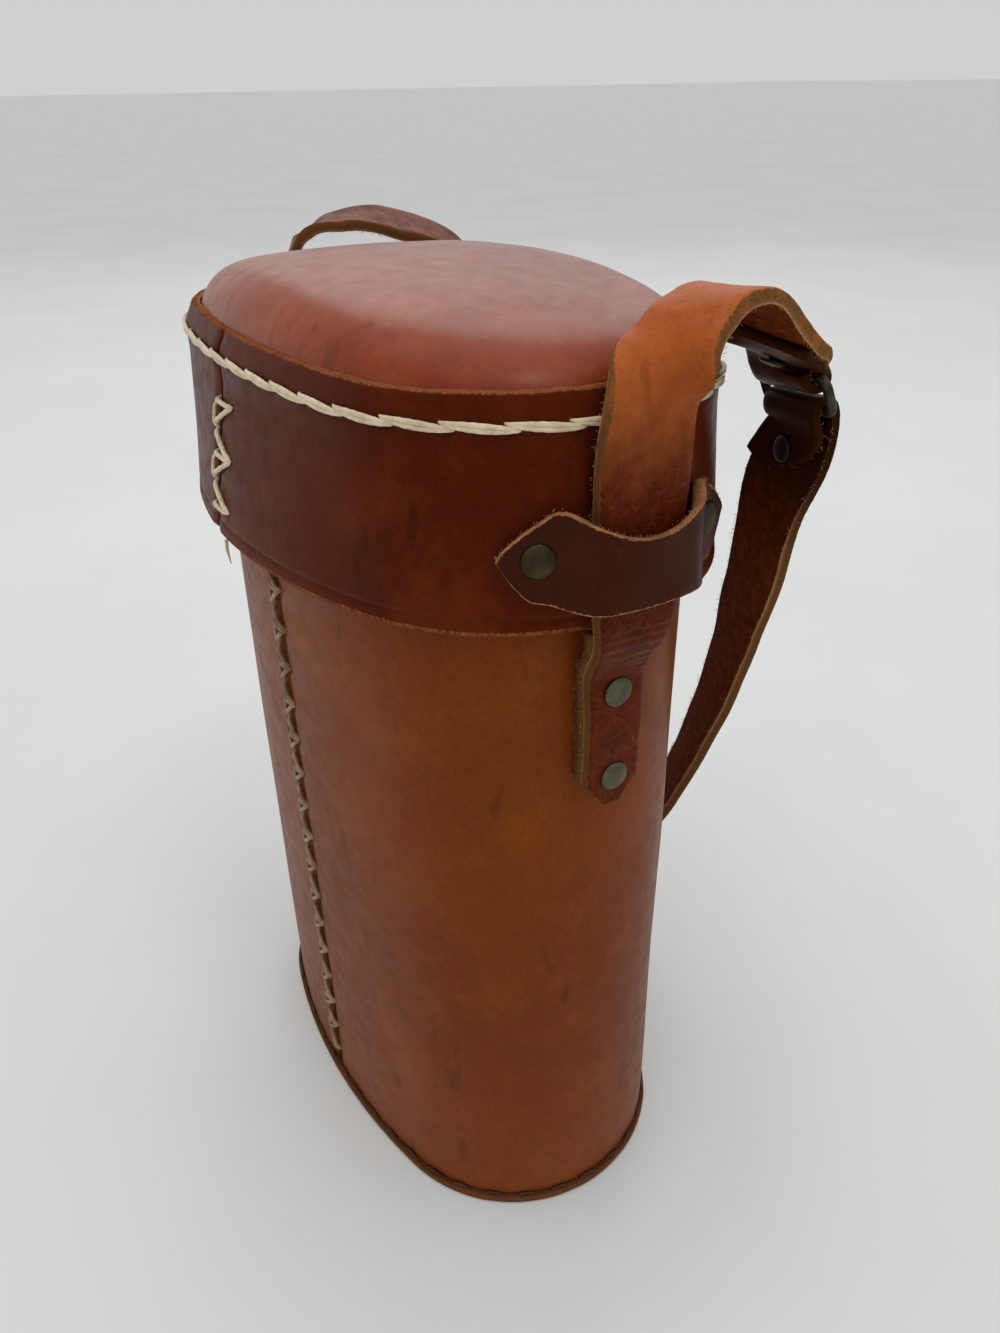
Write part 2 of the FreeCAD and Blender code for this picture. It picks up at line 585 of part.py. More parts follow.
export(body_wall, "body_wall")
export(body_lacing, "body_seam_lacing")
export(base_panel, "base_panel")
export(base_stitching, "base_stitching")
export(lid_skirt, "lid_skirt")
export(lid_lacing, "lid_seam_lacing")
export(lid_top, "lid_top")
export(rim_stitching, "lid_rim_stitching")
export(keeper, "front_keeper")
export(mirrored(keeper), "rear_keeper")
export(keeper_rivets, "front_keeper_rivets")
export(mirrored(keeper_rivets), "rear_keeper_rivets")
export(spacer, "front_strap_spacer")
export(mirrored(spacer), "rear_strap_spacer")
export(tab_rivets, "front_tab_rivets")
export(mirrored(tab_rivets), "rear_tab_rivets")
export(strap_ring, "strap_ring")
export(short_strap, "short_strap")
export(long_strap, "long_strap")
export(rivet(*short_rivet, fold_stack), "short_fold_rivet")
export(rivet(*long_rivet, fold_stack), "long_fold_rivet")
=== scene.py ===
import math
import bmesh
import bpy
import numpy as np
from mathutils import Matrix, Vector, noise


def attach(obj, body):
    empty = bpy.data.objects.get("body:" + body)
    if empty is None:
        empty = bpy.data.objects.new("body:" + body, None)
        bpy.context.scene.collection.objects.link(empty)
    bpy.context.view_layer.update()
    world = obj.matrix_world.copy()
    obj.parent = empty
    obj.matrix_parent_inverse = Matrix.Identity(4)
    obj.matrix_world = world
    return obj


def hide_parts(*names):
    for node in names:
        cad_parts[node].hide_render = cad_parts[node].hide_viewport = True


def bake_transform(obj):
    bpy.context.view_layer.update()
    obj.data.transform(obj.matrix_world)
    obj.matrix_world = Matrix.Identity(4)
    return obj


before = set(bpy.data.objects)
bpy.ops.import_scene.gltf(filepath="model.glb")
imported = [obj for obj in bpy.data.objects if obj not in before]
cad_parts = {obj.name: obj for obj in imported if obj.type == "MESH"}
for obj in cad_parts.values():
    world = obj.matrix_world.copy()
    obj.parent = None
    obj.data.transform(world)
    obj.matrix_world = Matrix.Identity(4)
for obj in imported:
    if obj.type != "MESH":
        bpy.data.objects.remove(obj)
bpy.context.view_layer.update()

# Leather bottle carrier, millimetres in the CAD frame: +X the end with the wire loop, -Y the seam side.
# An oval is its length, its width and the radius of its ends.
MM = 0.001
BODY = (208.0, 124.0, 56.0)
SKIRT_LOW = (226.0, 150.0, 66.0)
SKIRT_TOP = (220.0, 133.0, 62.0)
WALL_T = 4.0
SKIRT_T = 4.0
CROWN_T = 4.5
STRAP_T = 4.0
STRAP_W = 28.0
TURN_W = 25.0  # where the short strap turns over
NECK_W = 26.0  # below the keeper
STRAP_Y = -0.7
NECK_Y = STRAP_Y - 1.0
SKIVE_T = 2.6  # pared thin round the loop
BASE_T = 4.0
SKIRT_Z = 259.0  # lower edge of the lid's skirt
RIM_Z = SKIRT_Z + 63.0
SHOULDER_Z = SKIRT_Z + 47.0
FLANGE = 14.0  # lid top below the rim
DOME = 18.0  # and above it
CROWN_R = 420.0
DOME_EDGE_R = 18.0
BODY_TOP = RIM_Z - FLANGE - 0.3
LEAN = (SKIRT_LOW[0] - SKIRT_TOP[0]) / 2 / (SHOULDER_Z - SKIRT_Z)

BODY_SEAM = 4.0  # gap between the cut ends
SKIRT_SEAM = 1.5
SKIRT_SEAM_X = -13.5
SKIRT_LACE_X = -8.0  # middle of the lid's lacing
BODY_LACE_LOW = 15.0
BODY_LACE_PITCH = 15.0
BODY_LACE_ROWS = 19
SKIRT_LACE_TOP = SKIRT_Z + 42.0
SKIRT_LACE_PITCH = 16.5
SKIRT_LACE_ROWS = 2
LACE_REACH = 4.6  # holes either side of the lacing's middle
SKIRT_LACE_REACH = 8.0
LACE_SLACK = 0.8  # thread bends into the leather before the hole
LACE_HOLE_R = 1.1
STITCH_HOLE_R = 1.0
RIM_STITCHES = 36
RIM_STITCH_Z = RIM_Z - 7.5
BASE_STITCHES = 42

TAB_W = 18.5
TAB_Y = -3.0
TAB_TOP = SKIRT_Z - 17.5
TAB_LOW = TAB_TOP - 44.0
TAB_RIVETS = (TAB_LOW + 10.0, TAB_TOP - 5.0)
SPACER_T = 3.6
SPACER_X = BODY[0] / 2 + SPACER_T
TAB_X = SPACER_X + 0.3 + STRAP_T / 2
EDGE_X = SKIRT_LOW[0] / 2 + 0.9 + STRAP_T / 2
KEEPER_X = EDGE_X - 1.4

KEEPER_Z = SKIRT_Z + 22.5
KEEPER_PEAK = KEEPER_Z + 13.5
KEEPER_LOW = KEEPER_Z - 13.5
KEEPER_HOLLOW = 8.5  # dip of the upper edge between its peaks
KEEPER_HALF = 36.0
KEEPER_PEAK_Y = 19.0
KEEPER_FLAT_Y = 17.0  # half length of the straight lower edge
KEEPER_T = 3.5
KEEPER_RIVET_Y = 26.0

CAP_R = 4.7
WIRE_R = 1.4
LOOP_HALF = 17.4
LOOP_CORNER = 3.0
LOOP_BARS = 9.8
LOOP_POS = np.array([102.2, 60.7, RIM_Z - 7.5])
LOOP_ALONG = np.array([0.95, -0.28, 0.13])
LOOP_HANG = np.array([-0.05, 0.35, -0.93])
SHORT_DOWN = np.array([-0.25, 0.62, -0.74])
LONG_DOWN = np.array([-0.2, 0.12, -0.97])
BEND_OFF = WIRE_R + 0.3 + SKIVE_T / 2  # wire's middle to the strap's
FLAP_OFF = (STRAP_T + SKIVE_T) / 2 + 0.6  # strap's middle to its folded end's
FLAP_LEN = 26.0
FLAP_RIVET = 14.0  # along the strap from the bar
BAR_RUN = 5.0  # straight before the bar
LONG_WORN = 0.75  # how dark the long strap is with handling

# Strap routes: middle line with heights from the skirt's top edge, direction of the right-hand edge
SHORT_ROUTE = [
    ((KEEPER_X, STRAP_Y, -37), (0, 1, 0)),
    ((114.9, -0.7, -20), (0.05, 1, 0)),
    ((115.4, 0, -6), (0, 0.99, 0.12)),
    ((116, 3.4, 6.5), (0.3, 0.66, 0.68), TURN_W),
    ((114.8, 10.6, 14.8), (0.88, 0.42, 0.24), TURN_W),
    ((113.8, 20.5, 19), (0.98, 0, 0.1)),
    ((110.6, 37, 13.4), (0.99, -0.06, 0.02)),
    ((106.5, 49.5, 4.5), (0.99, -0.08, 0.07)),
]
LONG_ROUTE = [
    ((97, 67.5, -41), (0.97, -0.15, -0.05)),
    ((91, 69, -66), (0.95, -0.23, -0.18)),
    ((82, 73.5, -93), (0.91, -0.33, -0.25)),
    ((72, 78, -123), (0.87, -0.45, -0.23)),
    ((60.5, 80, -155), (0.78, -0.55, -0.28)),
    ((48.5, 81, -185), (0.68, -0.63, -0.36)),
    ((34, 81.5, -215), (0.55, -0.72, -0.42)),
    ((13, 82, -243), (0.3, -0.92, -0.25)),
    ((-16, 82.5, -255), (0, -1, 0)),
    ((-45, 83, -243), (-0.3, -0.92, 0.25)),
    ((-66, 83, -215), (-0.55, -0.72, 0.42)),
    ((-81, 83.5, -177), (-0.75, -0.58, 0.32)),
    ((-92, 84.5, -127), (-0.9, -0.4, 0.22)),
    ((-99, 85, -77), (-0.96, -0.22, 0.14)),
    ((-103, 83.5, -37), (-0.98, -0.08, 0.1)),
    ((-109, 83, -13), (-0.85, 0.35, 0.05)),
    ((-116, 72, 3), (-0.62, 0.77, -0.1)),
    ((-118, 47, 12.5), (-0.75, 0.65, 0.1)),
    ((-118, 22, 14.5), (-0.9, 0.42, 0.05)),
    ((-122, 6.5, 7.5), (-0.93, 0.05, -0.35)),
    ((-124, 1, -8), (-0.5, 0.86, -0.1)),
    ((-116.2, 0, -20), (-0.06, 1, 0)),
    ((-KEEPER_X, STRAP_Y, -37), (0, 1, 0)),
]


def unit(v):
    v = np.asarray(v, float)
    return v / np.linalg.norm(v, axis=-1, keepdims=True)


def smooth(t):
    """An eased step from 0 to 1."""
    t = np.clip(t, 0, 1)
    return t * t * (3 - 2 * t)


def rough(points, scale, seed=0.0):
    """Noise between -1 and 1 at every point; scale is the size of a bump in millimetres."""
    flat = np.asarray(points, float).reshape(-1, 3) / scale + seed
    values = [noise.noise(Vector(p)) for p in flat]
    return np.array(values).reshape(np.asarray(points).shape[:-1])


def oval(shape, grow, share):
    """Points and outward normals of a four-arc oval at shares of its length, from the seam round by +X."""
    half_l, half_w, end_r = shape[0] / 2 + grow, shape[1] / 2 + grow, shape[2] + grow
    c = half_l - end_r
    side_r = (c * c + half_w ** 2 - end_r ** 2) / (2 * (half_w - end_r))
    drop = side_r - half_w
    turn = math.atan2(c, drop)
    q = math.pi / 2
    arcs = np.array([
        (0, drop, side_r, -q, -q + turn),
        (c, 0, end_r, -q + turn, q - turn),
        (0, -drop, side_r, q - turn, q + turn),
        (-c, 0, end_r, q + turn, 3 * q - turn),
        (0, drop, side_r, 3 * q - turn, 3 * q),
    ])
    lengths = arcs[:, 2] * (arcs[:, 4] - arcs[:, 3])
    ends = np.cumsum(lengths)
    along = np.asarray(share, float) * ends[-1]
    k = np.minimum(np.searchsorted(ends, along), 4)
    angle = arcs[k, 3] + (along - (ends - lengths)[k]) / arcs[k, 2]
    normal = np.stack([np.cos(angle), np.sin(angle)], -1)
    return arcs[k, :2] + arcs[k, 2:3] * normal, normal


def raised(xy, z):
    """Points of a plane with their heights."""
    return np.concatenate([xy, np.broadcast_to(z, len(xy))[:, None]], 1)


def run_along(path):
    """Distance along a path at each of its points."""
    return np.concatenate([[0], np.cumsum(np.linalg.norm(np.diff(path, axis=0), axis=1))])


def girth(shape):
    points, _ = oval(shape, 0, np.linspace(0, 1, 721))
    return np.linalg.norm(np.diff(points, axis=0), axis=1).sum()


def skirt_at(z):
    """The skirt's oval at a height: it flares below the shoulder."""
    t = min(1.0, (z - SKIRT_Z) / (SHOULDER_Z - SKIRT_Z))
    return tuple(a + (b - a) * t for a, b in zip(SKIRT_LOW, SKIRT_TOP))


def end_x(shape, y):
    """Where an oval's +X end lies at a distance y from its middle."""
    return shape[0] / 2 - shape[2] + np.sqrt(shape[2] ** 2 - y * y)


# Meshes. raw marks cut edges, flesh the inner side of the leather, the third mark painted shade in holes,
# creases and joins, tone the darker, handled parts.
MARKS = ("raw", "flesh", "dirt", "tone")


class Soup:
    """Points with their marks, and faces, gathered for one piece."""
    def __init__(self):
        self.parts = []
        self.faces = []
        self.count = 0

    def add(self, grid, wrap_rows=False, raw=0.0, flesh=0.0, dirt=0.0, tone=0.0):
        """A grid closed round each row; its first and last rows are capped unless they join."""
        rows, cols = grid.shape[:2]
        r = np.arange(rows if wrap_rows else rows - 1)[:, None]
        c = np.arange(cols)[None, :]
        r2, c2 = (r + 1) % rows, (c + 1) % cols
        faces = np.stack([r * cols + c, r2 * cols + c, r2 * cols + c2, r * cols + c2], -1)
        self.faces += (faces.reshape(-1, 4) + self.count).tolist()
        if not wrap_rows:
            first = list(range(self.count, self.count + cols))
            last = list(range(self.count + (rows - 1) * cols, self.count + rows * cols))
            self.faces += [first[::-1], last]
        marks = np.stack([np.broadcast_to(m, (rows, cols)) for m in (raw, flesh, dirt, tone)], -1)
        self.parts.append(np.concatenate([grid.reshape(-1, 3), marks.reshape(-1, len(MARKS))], 1))
        self.count += rows * cols
        return self

    def facing(self, sign):
        """Mirrored to the -X end for -1."""
        for part in self.parts:
            part[:, 0] *= sign
        return self


def placed(name, data):
    obj = bpy.data.objects.new(name, data)
    bpy.context.scene.collection.objects.link(obj)
    return obj


def piece(name, soup, material, body=None, nodes=()):
    """A named object of the scene that rides on a body and stands for CAD nodes."""
    data = np.concatenate(soup.parts)
    mesh = bpy.data.meshes.new(name)
    mesh.from_pydata((data[:, :3] * MM).tolist(), [], soup.faces)
    tidy = bmesh.new()
    tidy.from_mesh(mesh)
    bmesh.ops.recalc_face_normals(tidy, faces=tidy.faces)
    tidy.to_mesh(mesh)
    tidy.free()
    for i, key in enumerate(MARKS):
        mark = mesh.attributes.new(key, "FLOAT", "POINT")
        mark.data.foreach_set("value", data[:, 3 + i].astype(np.float32))
    mesh.polygons.foreach_set("use_smooth", [True] * len(mesh.polygons))
    mesh.materials.append(material)
    obj = placed(name, mesh)
    if body:
        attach(obj, body)
    if nodes:
        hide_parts(*nodes)
    return obj


PLIES = 3
PLY_TWIST = 0.9  # turn of a cord in radians per millimetre
STEEP = 0.97  # slope above which a path needs another guide


def tube(soup, path, radius, sides=10, ply=0.0, dirt=0.0, closed=False):
    """A thread or wire along a path; ply gives the lobes of a twisted cord."""
    path = np.asarray(path, float)
    if closed:
        along = unit(np.roll(path, -1, 0) - np.roll(path, 1, 0))
    else:
        along = unit(np.gradient(path, axis=0))
    guide = (0.0, 0.0, 1.0) if abs(along[:, 2]).max() < STEEP else (1.0, 0.0, 0.0)
    a = unit(np.cross(along, guide))
    b = np.cross(along, a)
    angle = np.linspace(0, 2 * math.pi, sides, endpoint=False)
    lobe = 1 + ply * np.cos(PLIES * (angle[None, :] - run_along(path)[:, None] * PLY_TWIST))
    size = np.broadcast_to(radius, len(path))[:, None] * lobe
    ring = a[:, None] * np.cos(angle)[:, None] + b[:, None] * np.sin(angle)[:, None]
    return soup.add(path[:, None] + ring * size[..., None], wrap_rows=closed, dirt=dirt)


FIBRE_R = np.array([0.09, 0.07, 0.02])  # at its root, bend and tip
FIBRE_LEAN = 0.8
FIBRE_CURL = 0.7
FIBRE_STRAY = 0.25  # roots off their line


def fuzz(soup, roots, outward, count, length, seed):
    """Loose leather fibres along a line of roots."""
    rng = np.random.default_rng(seed)
    pick = rng.integers(0, len(roots), count)
    lean = np.broadcast_to(outward, roots.shape)[pick] + FIBRE_LEAN * rng.standard_normal((count, 3))
    reach = length * rng.uniform(0.35, 1.0, count)[:, None]
    start = roots[pick] + FIBRE_STRAY * rng.standard_normal((count, 3))
    bend = start + unit(lean) * reach * 0.6
    tip = bend + unit(lean + FIBRE_CURL * rng.standard_normal((count, 3))) * reach * 0.5
    angle = np.linspace(0, 2 * math.pi, 3, endpoint=False)
    ring = np.stack([np.cos(angle), np.sin(angle), np.cos(angle + 1)], -1)
    for path in np.stack([start, bend, tip], 1):
        soup.add(path[:, None] + ring[None] * FIBRE_R[:, None, None], raw=1.0, flesh=0.6)


# Materials
class Graph:
    """A material, and short names for the shader nodes that the materials share."""
    def __init__(self, name):
        self.material = bpy.data.materials.new(name)
        self.material.use_nodes = True
        self.tree = self.material.node_tree
        self.tree.nodes.clear()
        self.shader = self.new("BsdfPrincipled", {})
        self.new("OutputMaterial", {"Surface": self.shader.outputs[0]})
        self.place = self.new("TexCoord", {}).outputs["Object"]

    def new(self, kind, inputs, **settings):
        node = self.tree.nodes.new("ShaderNode" + kind)
        for key, value in settings.items():
            setattr(node, key, value)
        for key, value in inputs.items():
            self.set(node.inputs[key], value)
        return node

    def set(self, socket, value):
        if isinstance(value, bpy.types.NodeSocket):
            self.tree.links.new(value, socket)
        else:
            socket.default_value = value

    def put(self, key, value):
        self.set(self.shader.inputs[key], value)

    def noise(self, size, detail=4.0, roughness=0.55, stretch=(1, 1, 1)):
        """Noise whose features are about size millimetres."""
        place = self.new("Mapping", {"Vector": self.place, "Scale": stretch}).outputs[0]
        inputs = {"Vector": place, "Scale": 1000.0 / size, "Detail": detail, "Roughness": roughness}
        return self.new("TexNoise", inputs).outputs["Fac"]

    def cells(self, size):
        """Distance to the edges of cells about size millimetres wide."""
        inputs = {"Vector": self.place, "Scale": 1000.0 / size}
        return self.new("TexVoronoi", inputs, feature="DISTANCE_TO_EDGE").outputs["Distance"]

    def spread(self, value, low, high, to_low=0.0, to_high=1.0):
        """A value eased from its range to another."""
        inputs = {"Value": value, "From Min": low, "From Max": high, "To Min": to_low, "To Max": to_high}
        return self.new("MapRange", inputs, interpolation_type="SMOOTHSTEP").outputs[0]

    def mark(self, name):
        return self.new("Attribute", {}, attribute_name=name).outputs["Fac"]

    def maths(self, kind, a, b):
        return self.new("Math", {0: a, 1: b}, operation=kind).outputs[0]

    def mix(self, share, a, b):
        return self.new("Mix", {"Factor": share, 6: a, 7: b}, data_type="RGBA").outputs[2]

    def over(self, a, b, texture, *limits):
        """Colour a with b where a texture is high."""
        return self.mix(self.spread(texture, *limits), a, b)

    def bump(self, height, strength, distance, under=None):
        inputs = {"Strength": strength, "Distance": distance * MM, "Height": height}
        if under:
            inputs["Normal"] = under
        return self.new("Bump", inputs).outputs[0]


def linear(r, g, b):
    """An sRGB colour from 0 to 255 as linear light, opaque."""
    return *(((c / 255 + 0.055) / 1.055) ** 2.4 if c > 10 else c / 255 / 12.92 for c in (r, g, b)), 1.0


def shade(colour, share):
    return *(c * share for c in colour[:3]), 1.0


HANDLED_EDGE = linear(96, 62, 32)
BARE_EDGE = linear(206, 154, 108)
SPECULAR = 0.1
SPECULAR_TINT = (1.0, 0.5, 0.28, 1.0)
COAT_ROUGHNESS = 0.3
FIBRE_ROUGHNESS = 0.95


def leather(name, dark, mid, light, edge, flesh, roughness, gloss, handled=None):
    """Waxed leather from sRGB colours: mottled grain side, suede inner side, fibrous cut edges."""
    g = Graph(name)
    dark, mid, light, edge, flesh = (linear(*c) for c in (dark, mid, light, edge, flesh))
    cloud = g.noise(70, 3, 0.5)
    mottle = g.noise(11, 5, 0.6)
    streak = g.noise(22, 4, 0.6, (1, 1, 0.22))
    pores = g.cells(1.1)
    fibre = g.noise(0.7, 4, 0.75)
    colour = g.over(dark, mid, cloud, 0.3, 0.6, 0.35, 1.0)
    colour = g.over(colour, light, mottle, 0.45, 0.8, 0.0, 0.35)
    colour = g.over(colour, dark, streak, 0.55, 0.8, 0.0, 0.3)
    colour = g.over(colour, light, g.noise(34, 4, 0.6), 0.5, 0.72, 0.0, 0.55)
    scuff = g.noise(8, 2, 0.45, (1, 1, 0.3))
    rubbed = g.maths("MULTIPLY", g.spread(scuff, 0.6, 0.68), g.spread(g.noise(45, 2), 0.5, 0.62, 0.0, 0.45))
    colour = g.mix(rubbed, colour, shade(dark, 0.5))
    if handled:
        handled = linear(*handled)
        worn = g.over(shade(handled, 0.6), handled, mottle, 0.35, 0.7)
        patchy = g.maths("ADD", g.mark("tone"), g.spread(g.noise(7, 5, 0.65), 0.25, 0.75, -0.12, 0.12))
        colour = g.over(colour, worn, patchy, 0.0, 1.0)
    colour = g.over(colour, shade(dark, 0.7), g.noise(2.4, 6, 0.7), 0.42, 0.75, 0.0, 0.4)
    colour = g.over(colour, shade(dark, 0.6), pores, 0.0, 0.12, 0.25, 0.0)
    nap = g.over(shade(flesh, 0.55), shade(flesh, 1.5), g.noise(3.5, 6, 0.75), 0.4, 0.66)
    nap = g.over(nap, shade(flesh, 0.5), fibre, 0.3, 0.7, 0.0, 0.7)
    colour = g.mix(g.mark("flesh"), colour, nap)
    torn = g.over(shade(edge, 0.5), edge, g.noise(0.5, 4, 0.7), 0.35, 0.65)
    torn = g.over(torn, mid, g.noise(6, 3), 0.45, 0.7, 0.0, 0.45)
    if handled:
        torn = g.over(torn, HANDLED_EDGE, g.mark("tone"), 0.0, 0.7, 0.0, 0.8)
    torn = g.over(torn, BARE_EDGE, g.mark("flesh"), 0.0, 0.6, 0.0, 0.7)
    cut = g.spread(g.maths("ADD", g.mark("raw"), g.spread(g.noise(1.4), 0.3, 0.7, -0.18, 0.18)), 0.35, 0.65)
    colour = g.mix(cut, colour, torn)
    # painted shade where the mesh marks it: stitch holes, the wall's foot on the base, the strap folds at
    # the loop
    colour = g.mix(g.mark("dirt"), colour, shade(dark, 0.07))
    g.put("Base Color", colour)
    dull = g.maths("MAXIMUM", cut, g.mark("flesh"))
    wear = g.spread(g.noise(7, 5, 0.65), 0.3, 0.75, roughness - 0.06, roughness + 0.1)
    g.put("Roughness", g.spread(dull, 0.0, 1.0, wear, FIBRE_ROUGHNESS))
    g.put("Coat Weight", g.spread(dull, 0.0, 0.6, gloss, 0.0))
    g.put("Coat Roughness", COAT_ROUGHNESS)
    g.put("Specular IOR Level", SPECULAR)
    g.put("Specular Tint", SPECULAR_TINT)
    normal = g.bump(g.spread(pores, 0.0, 0.25), 0.14, 0.06)
    normal = g.bump(g.noise(0.9, 5, 0.7), 0.2, 0.12, normal)
    normal = g.bump(g.noise(9, 4, 0.55), 0.1, 0.4, normal)
    if handled:
        normal = g.bump(g.noise(3.2, 5, 0.65, (0.45, 0.45, 1.5)), 0.3, 0.35, normal)
    shaggy = g.maths("MULTIPLY", g.noise(0.7, 4, 0.75), dull)
    normal = g.bump(shaggy, 0.6, 0.6, normal)
    g.put("Normal", normal)
    return g.material


def thread_material(name, pale, deep, sheen=0.3):
    """Waxed thread, patchy and fibrous."""
    g = Graph(name)
    fibre = g.noise(0.6, 4, 0.7)
    colour = g.over(pale, deep, g.noise(5), 0.35, 0.7)
    colour = g.over(colour, shade(deep, 0.55), fibre, 0.35, 0.75, 0.0, 0.45)
    # painted shade where the mesh marks it, on the lace's loose end
    colour = g.mix(g.mark("dirt"), colour, shade(deep, 0.35))
    g.put("Base Color", colour)
    g.put("Roughness", g.spread(fibre, 0.2, 0.8, 0.6, 0.85))
    g.put("Sheen Weight", sheen)
    g.put("Normal", g.bump(g.noise(0.45, 3, 0.7), 0.5, 0.2))
    return g.material


METAL_SHARE = 0.8  # the rest is tarnish


def bronze(name, base, high):
    """Dull bronze with tarnish in its pits and painted shade round its foot."""
    g = Graph(name)
    colour = g.over(base, high, g.noise(5, 4, 0.6), 0.35, 0.7)
    colour = g.over(colour, shade(base, 0.5), g.noise(0.9, 4, 0.7), 0.6, 0.8, 0.0, 0.4)
    # painted shade round the rivet cap's foot and on its post
    colour = g.mix(g.mark("dirt"), colour, shade(base, 0.12))
    g.put("Base Color", colour)
    g.put("Metallic", METAL_SHARE)
    g.put("Roughness", g.spread(g.noise(1.4, 4, 0.7), 0.3, 0.7, 0.42, 0.56))
    g.put("Normal", g.bump(g.noise(0.7, 4, 0.7), 0.12, 0.06))
    return g.material


LEATHERS = (  # dark, mid, light, edge, flesh, roughness, gloss, handled
    ("body_leather", (106, 47, 10), (126, 59, 15), (140, 73, 25), (162, 106, 64), (112, 74, 46), 0.42, 0.05),
    ("base_leather", (88, 46, 20), (110, 62, 32), (128, 80, 50), (124, 80, 52), (112, 74, 46), 0.5, 0.0),
    ("skirt_leather", (66, 19, 4), (90, 29, 6), (106, 43, 12), (158, 90, 52), (92, 56, 36), 0.38, 0.0),
    ("dome_leather", (120, 42, 12), (148, 60, 22), (164, 79, 38), (172, 116, 72), (110, 72, 48), 0.32, 0.4),
    ("strap_leather", (162, 79, 31), (194, 103, 51), (206, 123, 73), (134, 92, 52), (124, 57, 21), 0.45, 0.0,
     (86, 24, 7)),
    ("keeper_leather", (48, 17, 8), (64, 24, 13), (78, 37, 23), (200, 138, 94), (112, 70, 46), 0.38, 0.05),
)
(BODY_LEATHER, BASE_LEATHER, SKIRT_LEATHER,
 DOME_LEATHER, STRAP_LEATHER, KEEPER_LEATHER) = (leather(*row) for row in LEATHERS)
THREAD = thread_material("rim_thread", linear(240, 222, 190), linear(214, 188, 150))
LACE = thread_material("lace_thread", linear(172, 139, 106), linear(118, 85, 57))
BASE_THREAD = thread_material("base_thread", linear(78, 42, 20), linear(50, 26, 12), sheen=0.0)
KEEPER_RIVET = bronze("keeper_rivet_bronze", linear(48, 39, 22), linear(74, 63, 40))
TAB_RIVET = bronze("tab_rivet_bronze", linear(80, 78, 60), linear(104, 100, 80))
WIRE = bronze("wire_bronze", linear(46, 39, 30), linear(82, 73, 60))


# Leather bands with a closed section: outer face up, top edge, inner face down, bottom edge
def band_section(heights, thick, bevel, dent=lambda z: 0.0, pale=0.0, tuck=0.0):
    """Rows of inset, height, cut-edge mark and inner-side mark.

    dent sets the outer face back, pale bares the lower corner, tuck turns the upper edge inwards.
    """
    z0, z1 = heights[0] - bevel, heights[-1] + bevel
    rows = [(dent(z), z, pale if i < 2 else 0.0, 0.0) for i, z in enumerate(heights)]
    corner = []
    for degrees in (30, 60, 90):
        a = math.radians(degrees)
        corner.append((math.sin(a), 1 - math.cos(a), 0.25 + degrees / 120))
    rows += [(dent(z1) + bevel * inset, z1 - bevel + bevel * up, cut, 0.0) for up, inset, cut in corner]
    rows.append(((dent(z1) + thick + tuck) / 2, z1 + 0.15, 1.0, 0.0))
    rows.append((thick + tuck - 0.5, z1 - 0.1, 1.0, 0.4))
    rows.append((thick + tuck, z1 - 0.8, 0.0, 1.0))
    rows += [(thick, z, 0.0, 1.0) for z in np.linspace(z1 - 12 * bevel, z0 + 0.8, 8)]
    rows.append((thick - 0.5, z0 + 0.1, 1.0, 0.4))
    rows.append((thick * 0.5, z0 - 0.05, 1.0, 0.0))
    rows += [(bevel * inset, z0 + bevel - bevel * up, cut, 0.0) for up, inset, cut in corner[::-1]]
    return np.array(rows)


SEAM_ZONE = 16.0  # length beside a seam with closer columns
SEAM_COLUMNS = 12


def seam_shares(length, gap, count):
    """Shares of a band's length from one cut edge to the other, closer together near the seam."""
    near = np.linspace(gap / 2, SEAM_ZONE, SEAM_COLUMNS)
    far = np.linspace(SEAM_ZONE, length - SEAM_ZONE, count)[1:-1]
    return np.concatenate([near, far, length - near[::-1]]) / length


def holes_mark(points, holes, radius):
    """1 in the middle of a stitch hole, falling to 0 at twice its radius."""
    mark = np.zeros(points.shape[:-1])
    for hole in holes:
        d = np.linalg.norm(points - np.array(hole), axis=-1)
        mark = np.maximum(mark, 1 - smooth(d / (2 * radius)))
    return mark


WAVE_SIZE = 38.0  # slow waves of the sheet
HOLE_DENT = 0.7  # leather drawn in at a stitch hole
LIP_REACH = 7.0


def leather_band(shape_at, section, shares, wave, lip, holes, hole_r, seam_x=0.0):
    """A sheet bent round to its seam at seam_x; wave is its unevenness, lip how far its cut ends turn in."""
    places = (shares + seam_x / girth(shape_at(section[:, 1].mean()))) % 1.0
    inset, z, raw, flesh = section.T
    columns = []
    for i in range(len(section)):
        xy, _ = oval(shape_at(z[i]), -inset[i], places)
        columns.append(raised(xy, z[i]))
    grid = np.stack(columns, 1)
    _, normal = oval(shape_at(z.mean()), 0, places)
    out = raised(normal, 0)[:, None]
    # painted shade in the stitch holes; the same mask also dents the leather there
    dirt = holes_mark(grid, holes, hole_r) * (flesh < 0.5)
    from_seam = np.minimum(shares, 1 - shares) * girth(shape_at(z.mean()))
    lift = wave * rough(grid * [1, 1, 0.6], WAVE_SIZE) - HOLE_DENT * dirt
    lift = lift + 0.12 * raw * rough(grid, 1.6, 7)
    lift = lift - lip * ((1 - smooth(from_seam / LIP_REACH)) ** 2)[:, None]
    top = raw * (z > z.mean())
    grid = grid + out * lift[..., None]
    grid[..., 2] += top * (0.35 * rough(grid, 7, 11) + 0.15 * rough(grid, 1.5, 12))
    return Soup().add(grid, raw=raw, flesh=flesh, dirt=dirt)


def lace_rows(top, pitch, rows):
    """Heights of the cross bars, from the top down."""
    return [top - i * pitch for i in range(rows + 1)]


